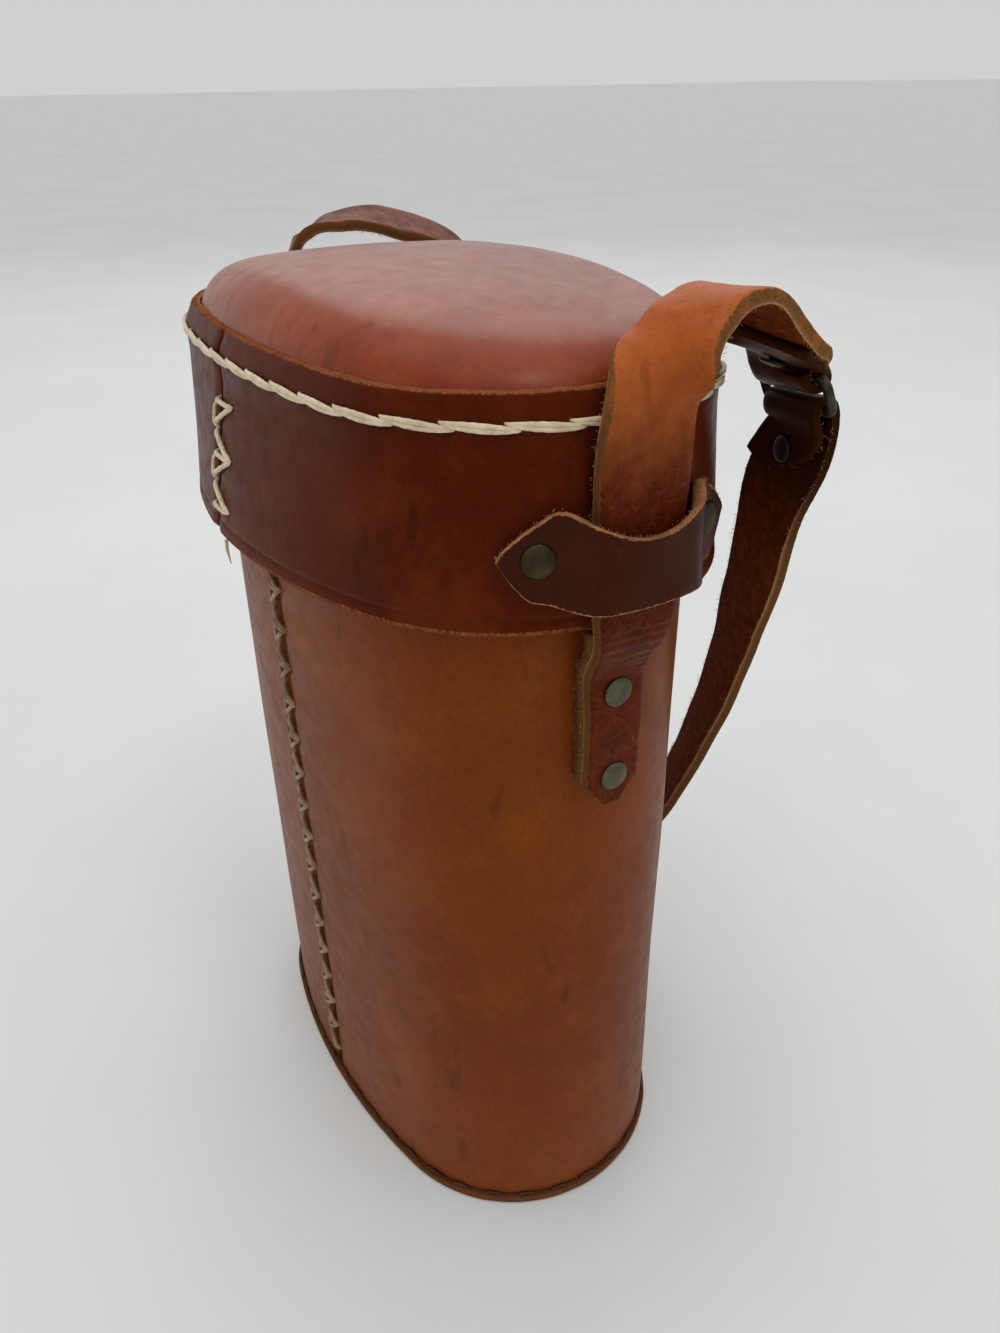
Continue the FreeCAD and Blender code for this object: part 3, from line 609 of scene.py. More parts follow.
body_bars = lace_rows(BODY_LACE_LOW + BODY_LACE_ROWS * BODY_LACE_PITCH, BODY_LACE_PITCH, BODY_LACE_ROWS)
body_holes = [(x, -BODY[1] / 2, z) for z in body_bars for x in (-LACE_REACH, LACE_REACH)]
BODY_COLUMNS, BODY_LEVELS = 190, 110
BODY_BEVEL = 1.0
body_shares = seam_shares(girth(BODY), BODY_SEAM, BODY_COLUMNS)
body_heights = np.linspace(BASE_T + BODY_BEVEL, BODY_TOP - BODY_BEVEL, BODY_LEVELS)
body_rows = band_section(body_heights, WALL_T, BODY_BEVEL)
wall = leather_band(lambda z: BODY, body_rows, body_shares, 0.45, 1.3, body_holes, LACE_HOLE_R)
piece("body_wall_leather", wall, BODY_LEATHER, "case", ["body_wall"])


def skirt_y(z):
    """The skirt's face on the seam side."""
    return -skirt_at(z)[1] / 2


skirt_bars = lace_rows(SKIRT_LACE_TOP, SKIRT_LACE_PITCH, SKIRT_LACE_ROWS)
skirt_holes = []
for z in skirt_bars:
    skirt_holes += [(SKIRT_LACE_X + side * SKIRT_LACE_REACH, skirt_y(z), z) for side in (-1, 1)]
rim_xy, _ = oval(SKIRT_TOP, 0, np.arange(RIM_STITCHES) / RIM_STITCHES)
skirt_holes += [(x, y, RIM_STITCH_Z - 1.2) for x, y in rim_xy]
SKIRT_COLUMNS = 260
SKIRT_BEVEL = 0.9
CREASE_UP = 4.5  # crease above the lower edge, its depth and width
CREASE_DEEP = 0.45
CREASE_WIDE = 0.8
DRAWN_IN = 3.0  # at the top edge
skirt_shares = seam_shares(girth(SKIRT_LOW), SKIRT_SEAM, SKIRT_COLUMNS)


def skirt_dent(z):
    """The crease along the lower edge, and the top edge drawn in against the moulded lid top."""
    crease = CREASE_DEEP * math.exp(-((z - SKIRT_Z - CREASE_UP) / CREASE_WIDE) ** 2)
    return crease + DRAWN_IN * float(smooth((z - RIM_Z + 8) / 9))


skirt_heights = np.concatenate([
    np.linspace(SKIRT_Z + SKIRT_BEVEL, SKIRT_Z + 8, 16),
    np.linspace(SKIRT_Z + 9.2, RIM_Z - SKIRT_BEVEL, 46),
])
skirt_rows = band_section(skirt_heights, SKIRT_T, SKIRT_BEVEL, skirt_dent, pale=0.6, tuck=2.0)
skirt = leather_band(skirt_at, skirt_rows, skirt_shares, 0.5, 0.9, skirt_holes, STITCH_HOLE_R, SKIRT_SEAM_X)
piece("lid_skirt_leather", skirt, SKIRT_LEATHER, "lid", ["lid_skirt"])


# Base panel: a full oval with a rounded, slightly proud edge
BASE_COLUMNS = 220
# painted shade on the base's top face, by half where the wall stands on it, fully inside the case
BASE_ROWS = np.array([  # growth past the wall, height, cut edge, painted shade
    (-8, 0, 0, 0), (0.9, 0, 0.1, 0), (1.6, 0.5, 0.5, 0), (2, 1.8, 0.7, 0),
    (1.8, 3.1, 0.5, 0), (1.1, 3.9, 0, 0.5), (-6, 4, 0, 1),
])
BASE_EDGE = slice(2, 5)


def base_soup():
    shares = np.linspace(0, 1, BASE_COLUMNS, endpoint=False)
    rows = []
    for grow, z in BASE_ROWS[:, :2]:
        xy, _ = oval(BODY, grow, shares)
        rows.append(raised(xy, z))
    grid = np.stack(rows)
    grid[BASE_EDGE, :, :2] *= 1 + 0.0012 * rough(grid[BASE_EDGE], 9)[..., None]
    return Soup().add(grid, raw=BASE_ROWS[:, 2:3], dirt=BASE_ROWS[:, 3:4])


piece("base_panel_leather", base_soup(), BASE_LEATHER, "case", ["base_panel"])


# Moulded lid top: flange, rolled shoulder and crown, outside and inside
DOME_COLUMNS, DOME_LEVELS = 260, 70
DOME_EASE = 15.0
DOME_GAP = 0.1  # to the skirt
FLANGE_EASE = 0.6


def crown_rows(inset, shares):
    """Rings of points from the flange to the middle, inset into the sheet."""
    grow = -SKIRT_T - DOME_GAP - inset
    ball = DOME_EDGE_R - inset
    radius = CROWN_R - inset
    centre = RIM_Z + DOME - CROWN_R
    wall_xy, normal = oval(SKIRT_TOP, grow, shares)
    hub, _ = oval(SKIRT_TOP, grow - ball, shares)
    hub_z = centre + np.sqrt((radius - ball) ** 2 - (hub ** 2).sum(1))
    rows = []
    for t in np.linspace(0, 1, 6)[:-1]:
        z = RIM_Z - FLANGE + FLANGE_EASE + (hub_z - RIM_Z + FLANGE - FLANGE_EASE) * t
        rows.append(raised(wall_xy, z))
    flat = raised(normal, 0)
    up = unit(raised(hub, hub_z - centre))
    mid = raised(hub, hub_z)
    angle = np.arccos((flat * up).sum(1))[:, None]
    for t in np.linspace(0, 1, 11):
        blend = (np.sin((1 - t) * angle) * flat + np.sin(t * angle) * up) / np.sin(angle)
        rows.append(mid + ball * blend)
    edge = rows[-1][:, :2]
    for s in np.concatenate([np.linspace(0.97, 0.1, 26), [0.05, 0.02]]):
        xy = edge * s
        z = centre + np.sqrt(radius ** 2 - (xy ** 2).sum(1))
        rows.append(raised(xy, z))
    return np.stack(rows)


def softened(rows, count, reach):
    """The profiles evenly spaced from flange to middle, their bends eased over a reach in millimetres."""
    result = np.empty((count, rows.shape[1], 3))
    for j in range(rows.shape[1]):
        run = run_along(rows[:, j])
        even = np.linspace(0, run[-1], count)
        half = max(1, int(reach / (even[1] - even[0])))
        kernel = np.hanning(2 * half + 3)[1:-1]
        for axis in range(3):
            line = np.interp(even, run, rows[:, j, axis])
            padded = np.pad(line, half, mode="reflect", reflect_type="odd")
            result[:, j, axis] = np.convolve(padded, kernel / kernel.sum(), "valid")
    return result


def dome_soup():
    shares = np.linspace(0, 1, DOME_COLUMNS, endpoint=False)
    outer = softened(crown_rows(0, shares), DOME_LEVELS, DOME_EASE)
    inner = crown_rows(CROWN_T, shares)
    bump = 0.5 * rough(outer * [1, 1, 0.5], 46, 3) + 0.12 * rough(outer, 15, 5)
    fade = smooth((outer[..., 2] - RIM_Z) / 8)
    outer[..., 2] += bump * fade
    grid = np.concatenate([inner[::-1], outer])
    flesh = np.concatenate([np.ones(len(inner)), np.zeros(len(outer))])
    return Soup().add(grid, flesh=flesh[:, None])


piece("lid_top_leather", dome_soup(), DOME_LEATHER, "lid", ["lid_top"])


# Keepers
def arc_height(y, a, b, c, side):
    """Height at y of the circle through three points; side 1 is its upper half, -1 its lower."""
    m = [[2 * (p[0] - a[0]), 2 * (p[1] - a[1])] for p in (b, c)]
    v = [p[0] ** 2 - a[0] ** 2 + p[1] ** 2 - a[1] ** 2 for p in (b, c)]
    centre = np.linalg.solve(m, v)
    r = math.hypot(a[0] - centre[0], a[1] - centre[1])
    return centre[1] + side * np.sqrt(np.maximum(r * r - (y - centre[0]) ** 2, 0))


def keeper_edges(y):
    """Lower and upper edge of the keeper at distances y from its middle, nearly straight to its tips."""
    y = np.abs(y)
    tip, peak = (KEEPER_HALF, KEEPER_Z), (KEEPER_PEAK_Y, KEEPER_PEAK)
    top_mid = ((KEEPER_HALF + KEEPER_PEAK_Y) / 2 + 1, (KEEPER_Z + KEEPER_PEAK) / 2 + 1)
    side = arc_height(y, tip, top_mid, peak, 1)
    dip = arc_height(y, (-KEEPER_PEAK_Y, KEEPER_PEAK), (0, KEEPER_PEAK - KEEPER_HOLLOW), peak, -1)
    corner = (KEEPER_HALF - 7, KEEPER_LOW + 2.5)
    low = np.interp(y, (KEEPER_FLAT_Y, corner[0], KEEPER_HALF), (KEEPER_LOW, corner[1], KEEPER_Z))
    return low, np.where(y < KEEPER_PEAK_Y, dip, side)


KEEPER_COLUMNS = 121
KEEPER_EASE = 13  # columns that its bends are eased over
KEEPER_SEAT = 0.45  # clear of the skirt
KEEPER_BOW = 1.5  # over the middle of the strap
KEEPER_RUN = 9.5  # from the strap's edge down to the skirt
KEEPER_FIBRES = 420


def eased(line):
    kernel = np.hanning(KEEPER_EASE) / np.hanning(KEEPER_EASE).sum()
    return np.convolve(np.pad(line, KEEPER_EASE // 2, mode="edge"), kernel, "valid")


def keeper_soup():
    """A keeper on the +X end: flat on the skirt at its tips, bowed over the strap."""
    y = np.linspace(-KEEPER_HALF + 0.3, KEEPER_HALF - 0.3, KEEPER_COLUMNS)
    low, high = keeper_edges(y)
    reach = np.abs(y)
    near = 1 - smooth((reach - KEEPER_PEAK_Y - 3) / 5)
    high = high + near * (eased(high) - high)
    low = low + smooth((KEEPER_HALF - 2 - reach) / 3) * (eased(low) - low)
    z0 = KEEPER_LOW - 3
    rest = end_x(skirt_at(z0), y + STRAP_Y) + KEEPER_SEAT
    over = KEEPER_X + STRAP_T / 2 + 0.7 + LEAN * (KEEPER_PEAK - z0)
    over = over + KEEPER_BOW * np.maximum(0, 1 - (2 * reach / STRAP_W) ** 2)
    inner = eased(over + (rest - over) * smooth((reach - STRAP_W / 2 + 0.5) / KEEPER_RUN))
    slope = np.gradient(inner, y)
    normal = unit(np.stack([np.ones_like(y), -slope], -1))
    rows = []
    section = band_section(np.linspace(0.04, 0.96, 12), KEEPER_T, 0.04)
    for inset, share, cut, _ in section:
        depth = KEEPER_T - inset
        z = low + (high - low) * np.clip(share, 0, 1)
        if cut > 0:
            z = np.where(share > 0.5, high - (1 - min(share, 1)) * 14, low + max(share, 0) * 14)
        x = inner + normal[:, 0] * depth - LEAN * (z - z0)
        rows.append(np.stack([x, y + STRAP_Y + normal[:, 1] * depth, z], -1))
    grid = np.stack(rows, 1)
    raw = section[:, 2]
    grid = grid + (raw * rough(grid, 1.3, 2))[..., None] * [0.35, 0, 0.3]
    grid[..., 0] += 0.35 * rough(grid * [0, 1, 1], 14, 4) * (raw == 0)
    soup = Soup().add(grid, raw=raw, flesh=section[:, 3])
    top = grid[:, 14:18].reshape(-1, 3)
    fuzz(soup, top, [0.5, 0.0, 1.0], KEEPER_FIBRES, 1.1, 3)
    return soup


ENDS = (("front", 1), ("rear", -1))
for name, sign in ENDS:
    keeper = keeper_soup().facing(sign)
    piece(name + "_keeper_leather", keeper, KEEPER_LEATHER, "lid", [name + "_keeper"])


# Rivets: domed cap, post and back washer
CAP_ROWS = [  # radius, height
    (0.05, 1.3), (1.4, 1.27), (2.9, 1.12), (3.9, 0.88), (4.4, 0.62), (CAP_R, 0.3), (CAP_R, 0.1), (4.3, 0.0)]
POST_R = 1.5
WASHER_ROWS = [(4.0, 0.0), (3.7, 0.6), (2.5, 0.9), (0.05, 1.0)]  # radius, distance past the leather
# painted shade per row: round the cap's foot, on the post and the washer's edge
RIVET_FOOT_SHADE = np.array([0, 0, 0, 0, 0, 0.5, 1, 1, 1, 1, 0.4, 0.2, 0, 0])
RIVET_SIDES = 40


def add_rivet(soup, outer, axis, stack):
    """A rivet with its cap's foot at outer, through a stack of leather."""
    outer, axis = np.asarray(outer, float), unit(axis)
    a = unit(np.cross(axis, [0.3, 0.2, 1.0]))
    b = np.cross(axis, a)
    angle = np.linspace(0, 2 * math.pi, RIVET_SIDES, endpoint=False)
    ring = a[None] * np.cos(angle)[:, None] + b[None] * np.sin(angle)[:, None]
    back = [(POST_R, 0.0), (POST_R, -stack)] + [(r, -stack - past) for r, past in WASHER_ROWS]
    grid = np.stack([outer + ring * r + axis * h for r, h in CAP_ROWS + back])
    dent = rough(grid, 2.4, 9) * 0.05
    return soup.add(grid + axis * dent[..., None], dirt=RIVET_FOOT_SHADE[:, None])


KEEPER_STACK = KEEPER_T + SKIRT_T + 1.1
TAB_STACK = STRAP_T + SPACER_T + WALL_T + 0.7


def keeper_rivets(sign):
    soup = Soup()
    skirt_shape = skirt_at(KEEPER_Z)
    for y in (STRAP_Y - KEEPER_RIVET_Y, STRAP_Y + KEEPER_RIVET_Y):
        turn = math.asin(y / skirt_shape[2])
        axis = unit([math.cos(turn), math.sin(turn), LEAN])
        foot = np.array([end_x(skirt_shape, y), y, KEEPER_Z])
        add_rivet(soup, foot + axis * (KEEPER_T + 0.6), axis, KEEPER_STACK)
    return soup.facing(sign)


def tab_rivets(sign):
    soup = Soup()
    for z in TAB_RIVETS:
        add_rivet(soup, (TAB_X + STRAP_T / 2 + 0.15, TAB_Y, z), (1, 0, 0), TAB_STACK)
    return soup.facing(sign)


for name, sign in ENDS:
    caps = keeper_rivets(sign)
    piece(name + "_keeper_rivet_caps", caps, KEEPER_RIVET, "lid", [name + "_keeper_rivets"])
    caps = tab_rivets(sign)
    piece(name + "_tab_rivet_caps", caps, TAB_RIVET, "case", [name + "_tab_rivets"])


# Straps
class Route:
    """A smooth line through stations of point, right-hand direction, width and thickness."""
    def __init__(self, stations):
        self.points = np.array([s[0] for s in stations], float)
        self.across = unit(np.array([s[1] for s in stations], float))
        self.size = np.array([s[2:] for s in stations], float)
        self.u = run_along(self.points)
        h = np.diff(self.u)
        n = len(self.u)
        m = np.eye(n)
        right = np.zeros((n, 3))
        slope = np.diff(self.points, axis=0) / h[:, None]
        for i in range(1, n - 1):
            m[i, i - 1:i + 2] = h[i - 1], 2 * (h[i - 1] + h[i]), h[i]
            right[i] = 6 * (slope[i] - slope[i - 1])
        self.curve = np.linalg.solve(m, right)

    def at(self, u):
        """Points, right-hand and outward directions, widths and thicknesses at distances u."""
        u = np.atleast_1d(np.asarray(u, float))
        i = np.clip(np.searchsorted(self.u, u, side="right") - 1, 0, len(self.u) - 2)
        h = (self.u[i + 1] - self.u[i])[:, None]
        a = (self.u[i + 1] - u)[:, None] / h
        b = 1 - a
        p0, p1, c0, c1 = self.points[i], self.points[i + 1], self.curve[i], self.curve[i + 1]
        point = a * p0 + b * p1 + ((a ** 3 - a) * c0 + (b ** 3 - b) * c1) * h * h / 6
        along = unit((p1 - p0) / h + ((1 - 3 * a * a) * c0 + (3 * b * b - 1) * c1) * h / 6)
        t = smooth(b)
        across = self.across[i] * (1 - t) + self.across[i + 1] * t
        across = unit(across - along * (across * along).sum(1, keepdims=True))
        size = self.size[i] * a + self.size[i + 1] * b
        return point, across, np.cross(across, along), size


ALONG = unit(LOOP_ALONG)


def squared(direction):
    """The part of a direction that is square to the loop's bars."""
    return unit(direction - ALONG * (direction @ ALONG))


HANG = squared(LOOP_HANG)
LOW_BAR = LOOP_POS + HANG * LOOP_BARS


def routed(route, thick=STRAP_T, height=0.0):
    """Stations of a route; a third entry is the strap's own width there."""
    return [(np.add(point, (0, 0, height)), across, width[0] if width else STRAP_W, thick)
            for point, across, *width in route]


def riveted_end(side):
    """Stations from the tab's tip up to the neck."""
    rows = [
        (TAB_X, TAB_Y, TAB_LOW, TAB_W * 0.3),
        (TAB_X, TAB_Y, TAB_LOW + 8, TAB_W),
        (TAB_X, TAB_Y, TAB_TOP - 8, TAB_W),
        (TAB_X, TAB_Y, TAB_TOP, TAB_W * 1.05),
        (EDGE_X - 1.3, (TAB_Y + NECK_Y) / 2, SKIRT_Z - 7, (TAB_W + NECK_W) / 2),
        (EDGE_X, NECK_Y, SKIRT_Z + 3, NECK_W),
    ]
    return [((side * x, y, z), (0, 1, 0), width, STRAP_T) for x, y, z, width in rows]


FLAP_EASE = 10.0  # the folded end closes on the strap over this length


def fold(main, bar, down, at_end):
    """Stations round a bar of the loop and back along the strap."""
    end = main.u[-1] if at_end else 0.0
    back = -1 if at_end else 1
    face = np.cross(ALONG, down)
    stations = []
    for degrees in range(36, 181, 36):
        turn = math.radians(degrees)
        point = bar + face * (BEND_OFF * math.cos(turn)) - down * back * (BEND_OFF * math.sin(turn))
        stations.append((point, ALONG, STRAP_W, SKIVE_T))
    for distance in (4.5, 10.0, 18.0, FLAP_LEN):
        point, across, out, _ = (v[0] for v in main.at(end + back * distance))
        apart = FLAP_OFF + (2 * BEND_OFF - FLAP_OFF) * max(0.0, 1 - distance / FLAP_EASE)
        stations.append((point - out * apart, across, STRAP_W, SKIVE_T))
    return stations


short_down = squared(SHORT_DOWN)
short_bar = LOOP_POS + np.cross(ALONG, short_down) * BEND_OFF
short_end = [(short_bar - short_down * BAR_RUN, ALONG), (short_bar, ALONG)]
short_stations = riveted_end(1) + routed(SHORT_ROUTE, STRAP_T, RIM_Z) + routed(short_end, SKIVE_T)
short_main = Route(short_stations)
long_down = squared(LONG_DOWN)
long_bar = LOW_BAR + np.cross(ALONG, long_down) * BEND_OFF
long_start = [(long_bar, ALONG), (long_bar + long_down * BAR_RUN, ALONG)]
long_stations = routed(long_start, SKIVE_T) + routed(LONG_ROUTE, STRAP_T, RIM_Z) + riveted_end(-1)[::-1]
long_main = Route(long_stations)

STRAP_SIDES = 13
STRAP_FLAT = 0.93  # share of the width inside the rounded edges
STRAP_EDGE = [  # half widths, half thicknesses, cut edge, inner side
    (0.975, 0.86, 0.45, 0.0), (1.0, 0.45, 1.0, 0.0), (1.0, -0.1, 1.0, 0.0),
    (0.995, -0.7, 1.0, 0.2), (0.98, -0.95, 0.6, 0.8),
]
STRAP_SECTION = np.array(
    [(a, 1.0, 0.0, 0.0) for a in np.linspace(-STRAP_FLAT, STRAP_FLAT, STRAP_SIDES)]
    + STRAP_EDGE
    + [(a, -1.0, 0.0, 1.0) for a in np.linspace(STRAP_FLAT, -STRAP_FLAT, STRAP_SIDES)]
    + [(-a, n, cut, inner) for a, n, cut, inner in STRAP_EDGE[::-1]])
SLANT = 0.066  # half widths per millimetre
SLANT_START = 0.36


def flap_cut(u):
    """Right-hand limit of the long strap's folded end, which is cut off at a slant."""
    return np.clip(SLANT * u - SLANT_START, -SLANT_START, 1.0)


DARK_Z = RIM_Z + 18  # handling darkens the straps below this height
DARK_RUN = 54.0
# depth of the painted shade on the strap folds at the loop
LOOP_SHADE_DEPTH = 0.93
STRAP_FIBRES = 2.2  # per millimetre
STRAP_FIBRE_LEN = 1.5


def strap_soup(route, start, end, count, worn=0.0, loop_shade=np.zeros_like, limit=None, seed=1):
    """A strap from start to end along its route, with painted shade by the loop and worn for its darker,
    handled tone elsewhere.
    """
    u = np.linspace(start, end, count)
    point, across, out, size = route.at(u)
    a, n, raw, flesh = STRAP_SECTION.T
    place = np.broadcast_to(a, (count, len(a)))
    if limit:
        place = -1 + (place + 1) * (limit(u)[:, None] + 1) / 2
    width, thick = size.T[..., None, None] / 2
    grid = point[:, None] + across[:, None] * place[..., None] * width
    grid = grid + out[:, None] * n[:, None] * thick
    fray = raw * (rough(grid, 1.5, 1) * 0.3 + rough(grid, 5, 2) * 0.15)
    grid = grid + across[:, None] * (np.sign(a) * fray)[..., None]
    at_end = smooth((30 - np.abs(grid[..., 1])) / 12)
    bend = smooth((SKIRT_Z + 2 - grid[..., 2]) / 4) * smooth((grid[..., 2] - TAB_TOP + 1) / 4) * at_end
    crease = -0.28 * bend * np.abs(np.sin(u * 1.15 + 0.6 * np.sin(u * 0.4)))[:, None] ** 3
    grain = 0.25 * rough(grid, 12, 6) + 0.1 * rough(grid * [1, 1, 2.5], 5, 8) + crease
    grid = grid + out[:, None] * (grain * (1 - raw))[..., None]
    tone = np.maximum(worn, smooth((DARK_Z - grid[..., 2]) / DARK_RUN) * at_end)
    soup = Soup().add(grid, raw=raw, flesh=flesh, tone=tone, dirt=LOOP_SHADE_DEPTH * loop_shade(u)[:, None])
    right = STRAP_SIDES + len(STRAP_EDGE) - 1
    inner = np.concatenate([grid[:, right], grid[:, right + STRAP_SIDES + 1]])
    outward = np.concatenate([across, -across]) - 0.6 * np.concatenate([out, out])
    fuzz(soup, inner, outward, int((end - start) * STRAP_FIBRES), STRAP_FIBRE_LEN, seed)
    return soup


short_route = Route(short_stations + fold(short_main, LOOP_POS, short_down, True))
long_route = Route(fold(long_main, LOW_BAR, long_down, False)[::-1] + long_stations)
FOLD_RUN = long_route.u[-1] - long_main.u[-1]


def reach_z(route, z, last):
    """Distance along a route to where it crosses height z, the first or the last time."""
    u = np.linspace(0, route.u[-1], 4000)
    above = route.at(u)[0][:, 2] > z
    crossings = np.nonzero(above[1:] != above[:-1])[0]
    return u[crossings[-1 if last else 0]]


def bent(name, soup, nodes=()):
    """A strap piece on no body, with its placement baked into its mesh."""
    obj = piece(name, soup, STRAP_LEATHER, None, nodes)
    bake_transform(obj)


SPLIT_Z = 120.0  # the long strap's first piece ends here
split_low = FOLD_RUN + reach_z(long_main, SPLIT_Z, False)
split_far = FOLD_RUN + reach_z(long_main, KEEPER_Z, True)
# painted shade on the short strap's folded end, and on the long strap from its fold at the loop
strap = strap_soup(
    short_route, 0, short_route.u[-1], 420, loop_shade=lambda u: smooth((u - short_main.u[-1] + 2) / 4))
bent("short_strap_leather", strap, ["short_strap"])
strap = strap_soup(
    long_route, 0, split_low, 260, LONG_WORN, lambda u: 1 - smooth((u - FOLD_RUN - 8) / 50), flap_cut, 2)
bent("long_strap_loop_end", strap, ["long_strap"])
strap = strap_soup(long_route, split_low, split_far, 420, LONG_WORN)
piece("long_strap_middle", strap, STRAP_LEATHER, "lid", ())
strap = strap_soup(long_route, split_far, long_route.u[-1], 120, LONG_WORN)
bent("long_strap_far_end", strap)

SPACER_LEVELS, SPACER_SIDES = 60, 9
SPACER_FIBRES = 160


def spacer_soup(sign):
    """The layer under a riveted strap end, following the strap up to the skirt."""
    u = np.linspace(short_main.u[0] + 6, reach_z(short_main, SKIRT_Z - 1.5, False), SPACER_LEVELS)
    point, _, _, size = short_main.at(u)
    share = np.linspace(-0.97, 0.97, SPACER_SIDES)
    y = point[:, 1:2] + share * np.maximum(size[:, :1], 0.75 * TAB_W) / 2
    face = np.broadcast_to(point[:, :1] - STRAP_T / 2 - 0.1, y.shape)
    back = np.maximum(end_x(BODY, y) + 0.05, face - 3.7)
    z = np.broadcast_to(point[:, 2:], (SPACER_LEVELS, 2 * SPACER_SIDES))
    grid = np.stack([np.concatenate([face, back[:, ::-1]], 1), np.concatenate([y, y[:, ::-1]], 1), z], -1)
    raw = np.tile(np.abs(share) == share[-1], 2)
    grid[..., 1] += 0.3 * raw * rough(grid, 1.6, 3)
    soup = Soup().add(grid, raw=0.9 * raw, tone=1.0)
    left = np.concatenate([grid[:, 0], grid[:, -1]])
    fuzz(soup, left, [0.2, -1.0, 0.0], SPACER_FIBRES, 1.0, 5)
    return soup.facing(sign)


for name, sign in ENDS:
    bent(name + "_strap_spacer_leather", spacer_soup(sign),
         [name + "_strap_spacer"])


# Wire loop and the rivets in the folded strap ends
def loop_soup():
    flat, low, r = LOOP_HALF - LOOP_CORNER, LOOP_BARS - LOOP_CORNER, LOOP_CORNER
    turn = np.radians(np.linspace(0, 90, 7))
    path = []
    for a, h, start in ((flat, r, -90), (flat, low, 0), (-flat, low, 90), (-flat, r, 180)):
        bend = turn + math.radians(start)
        path += [LOOP_POS + ALONG * (a + r * math.cos(t)) + HANG * (h + r * math.sin(t)) for t in bend]
    return tube(Soup(), path, WIRE_R, 16, closed=True)


piece("strap_loop_wire", loop_soup(), WIRE, "ring", ["strap_ring"])
fold_stack = STRAP_T / 2 + FLAP_OFF + SKIVE_T / 2 + 0.9
for name, main, u, body in (
    ("short", short_main, short_main.u[-1] - FLAP_RIVET, "lid"),
    ("long", long_main, FLAP_RIVET, "ring"),
):
    point, _, out, size = (v[0] for v in main.at(u))
    caps = add_rivet(Soup(), point + out * (size[1] / 2 + 0.4), out, fold_stack)
    piece(name + "_fold_rivet_caps", caps, KEEPER_RIVET, body, [name + "_fold_rivet"])


# Rim sewing: slim stitches of doubled thread, each slipping under the next
STITCH_FROM = 0.14  # start before its own place, and length, in pitches
STITCH_RUN = 1.3
STITCH_FALL = 1.7  # from end to end
STRANDS_APART = 0.6


def rim_sewing():
    soup = Soup()
    t = np.linspace(0, 1, 17)
    belly = np.sin(math.pi * t) ** 0.8
    for i in range(RIM_STITCHES):
        xy, normal = oval(SKIRT_TOP, 0, (i - STITCH_FROM + t * STITCH_RUN) / RIM_STITCHES % 1.0)
        for strand in (-1, 1):
            lift = 0.55 + 0.45 * belly - 1.1 * (1 - belly) ** 4
            z = RIM_STITCH_Z + (0.5 - t) * STITCH_FALL + strand * STRANDS_APART * belly
            tube(soup, raised(xy + normal * lift[:, None], z), 0.32 + 0.4 * belly, 10, ply=0.09)
    return soup


piece("lid_rim_sewing", rim_sewing(), THREAD, "lid", ["lid_rim_stitching"])

BASE_STITCH_HALF = 0.27  # half length in pitches
BASE_STITCH_OUT = 0.75
BASE_STITCH_R = 0.5


def base_sewing():
    soup = Soup()
    t = np.linspace(-1, 1, 9)
    for i in range(BASE_STITCHES):
        xy, _ = oval(BODY, BASE_STITCH_OUT, (i + 0.5 + t * BASE_STITCH_HALF) / BASE_STITCHES)
        z = BASE_T + BASE_STITCH_OUT - 1.5 * np.abs(t) ** 4
        tube(soup, raised(xy, z), BASE_STITCH_R, 8, ply=0.1)
    return soup


piece("base_sewing", base_sewing(), BASE_THREAD, "case", ["base_stitching"])


# Seam lacing: a cross bar, then a thread back to the left and on to the next bar
SKIRT_LACE_R = 0.78
BODY_LACE_R = 0.75
LACE_DIP = 2.4  # ends go into the leather
LACE_BACK = 0.45  # thread back, and thread on, in shares of the pitch
LACE_ON = 0.55


def seam_lacing(bars, pitch, face, reach, radius, middle=0.0):
    soup = Soup()
    t = np.linspace(0, 1, 11)

    def lace(a, b, z_a, z_b, r=radius):
        """One thread over the leather between x = a and b."""
        z = z_a + (z_b - z_a) * t
        y = face(z) - r * 0.9 + LACE_DIP * np.abs(2 * t - 1) ** 6
        tube(soup, np.stack([a + (b - a) * t, y, z], -1), r, 9, ply=0.12)

    left, right = middle - reach, middle + reach
    for i, z in enumerate(bars):
        lace(left, right, z, z)
        if i + 1 < len(bars):
            lace(right, left, z, z - pitch * LACE_BACK)
            lace(left, right, z - pitch * LACE_ON, z - pitch)
            lace(left, left, z - 0.5, z - pitch * LACE_ON, radius * 0.8)
    return soup


skirt_face = np.vectorize(skirt_y)
lace_half = SKIRT_LACE_REACH - LACE_SLACK
lid_lace = seam_lacing(skirt_bars, SKIRT_LACE_PITCH, skirt_face, lace_half, SKIRT_LACE_R, SKIRT_LACE_X)
edge_y = skirt_y(SKIRT_Z)
loose_end = [(-0.5, edge_y - 0.4, SKIRT_Z + 1), (0.8, edge_y - 1, SKIRT_Z - 2), (3, edge_y - 1, SKIRT_Z - 6)]
# the lace's loose end at the skirt's lower edge, darkened by half with painted shade
tube(lid_lace, loose_end, np.array([0.6, 0.5, 0.15]), 8, dirt=0.5)
piece("lid_seam_lace", lid_lace, THREAD, "lid", ["lid_seam_lacing"])
body_face = np.vectorize(lambda z: -BODY[1] / 2)
body_lace = seam_lacing(body_bars, BODY_LACE_PITCH, body_face, LACE_REACH - LACE_SLACK, BODY_LACE_R)
piece("body_seam_lace", body_lace, LACE, "case", ["body_seam_lacing"])


# Stage, light and camera, in metres
FLOOR = 60  # half its side
CENTRE = Vector((0.0, 0.0, 0.2))
SENSOR = 36.0  # millimetres
CAMERA_EYE = (304.1, -158.0, 386.5)  # millimetres
CAMERA_FORWARD = (-0.741, 0.4485, -0.5)
CAMERA_UP = (-0.428, 0.259, 0.866)
CAMERA_ROLL = -0.0157
FOCAL_PX, HEIGHT_PX = 1017.0, 1333.0


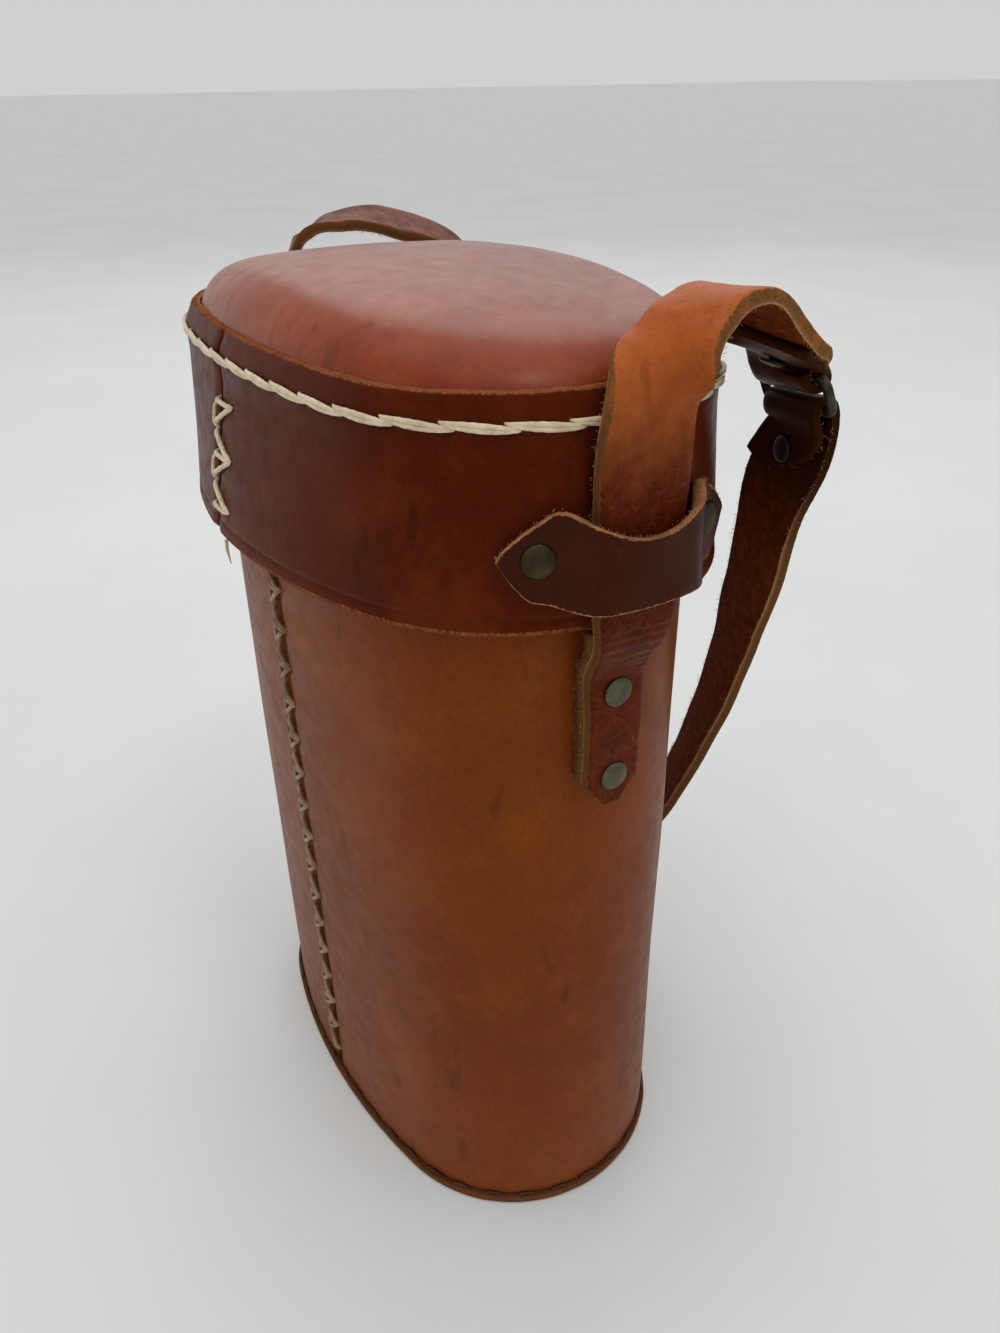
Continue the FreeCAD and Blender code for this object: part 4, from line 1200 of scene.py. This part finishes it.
def backdrop():
    g = Graph("pale_floor")
    colour = g.over(linear(232, 234, 232), linear(238, 239, 237), g.noise(300), 0.3, 0.7)
    g.put("Base Color", colour)
    g.put("Roughness", 0.6)
    mesh = bpy.data.meshes.new("floor")
    corners = [(-FLOOR, -FLOOR, 0), (FLOOR, -FLOOR, 0), (FLOOR, FLOOR, 0), (-FLOOR, FLOOR, 0)]
    mesh.from_pydata(corners, [], [(0, 1, 2, 3)])
    mesh.materials.append(g.material)
    placed("floor", mesh)


def area_light(name, place, size, power, colour=(1, 1, 1)):
    light = bpy.data.lights.new(name, "AREA")
    light.shape = "RECTANGLE"
    light.size, light.size_y = size
    light.energy = power
    light.color = colour
    obj = placed(name, light)
    aim = (Vector(place) - CENTRE).to_track_quat("Z", "Y")
    obj.matrix_world = Matrix.Translation(place) @ aim.to_matrix().to_4x4()


def photo_camera():
    data = bpy.data.cameras.new("photo_view")
    data.sensor_width = SENSOR
    data.lens = SENSOR * FOCAL_PX / HEIGHT_PX
    data.clip_start = 0.01
    obj = placed("photo_view", data)
    back = -Vector(CAMERA_FORWARD).normalized()
    right = Vector(CAMERA_UP).cross(back).normalized()
    above = back.cross(right)
    c, s = math.cos(CAMERA_ROLL), math.sin(CAMERA_ROLL)
    turn = Matrix((right * c + above * s, above * c - right * s, back)).transposed().to_4x4()
    obj.matrix_world = Matrix.Translation(Vector(CAMERA_EYE) * MM) @ turn
    bpy.context.scene.camera = obj


backdrop()
world = bpy.data.worlds.new("studio")
bpy.context.scene.world = world
world.use_nodes = True
sky = world.node_tree.nodes["Background"]
sky.inputs["Color"].default_value = (0.86, 0.88, 0.88, 1)
sky.inputs["Strength"].default_value = 0.72
area_light("window", place=(-1.6, 1.0, 1.5), size=(1.8, 1.2), power=5.5, colour=(1, 0.98, 0.97))
area_light("overhead", place=(0.0, -0.1, 1.9), size=(1.8, 1.8), power=7)
area_light("lamp", place=(0.9, 0.0, 1.9), size=(0.4, 0.4), power=2.4)
photo_camera()
bpy.context.scene.view_settings.view_transform = "Standard"
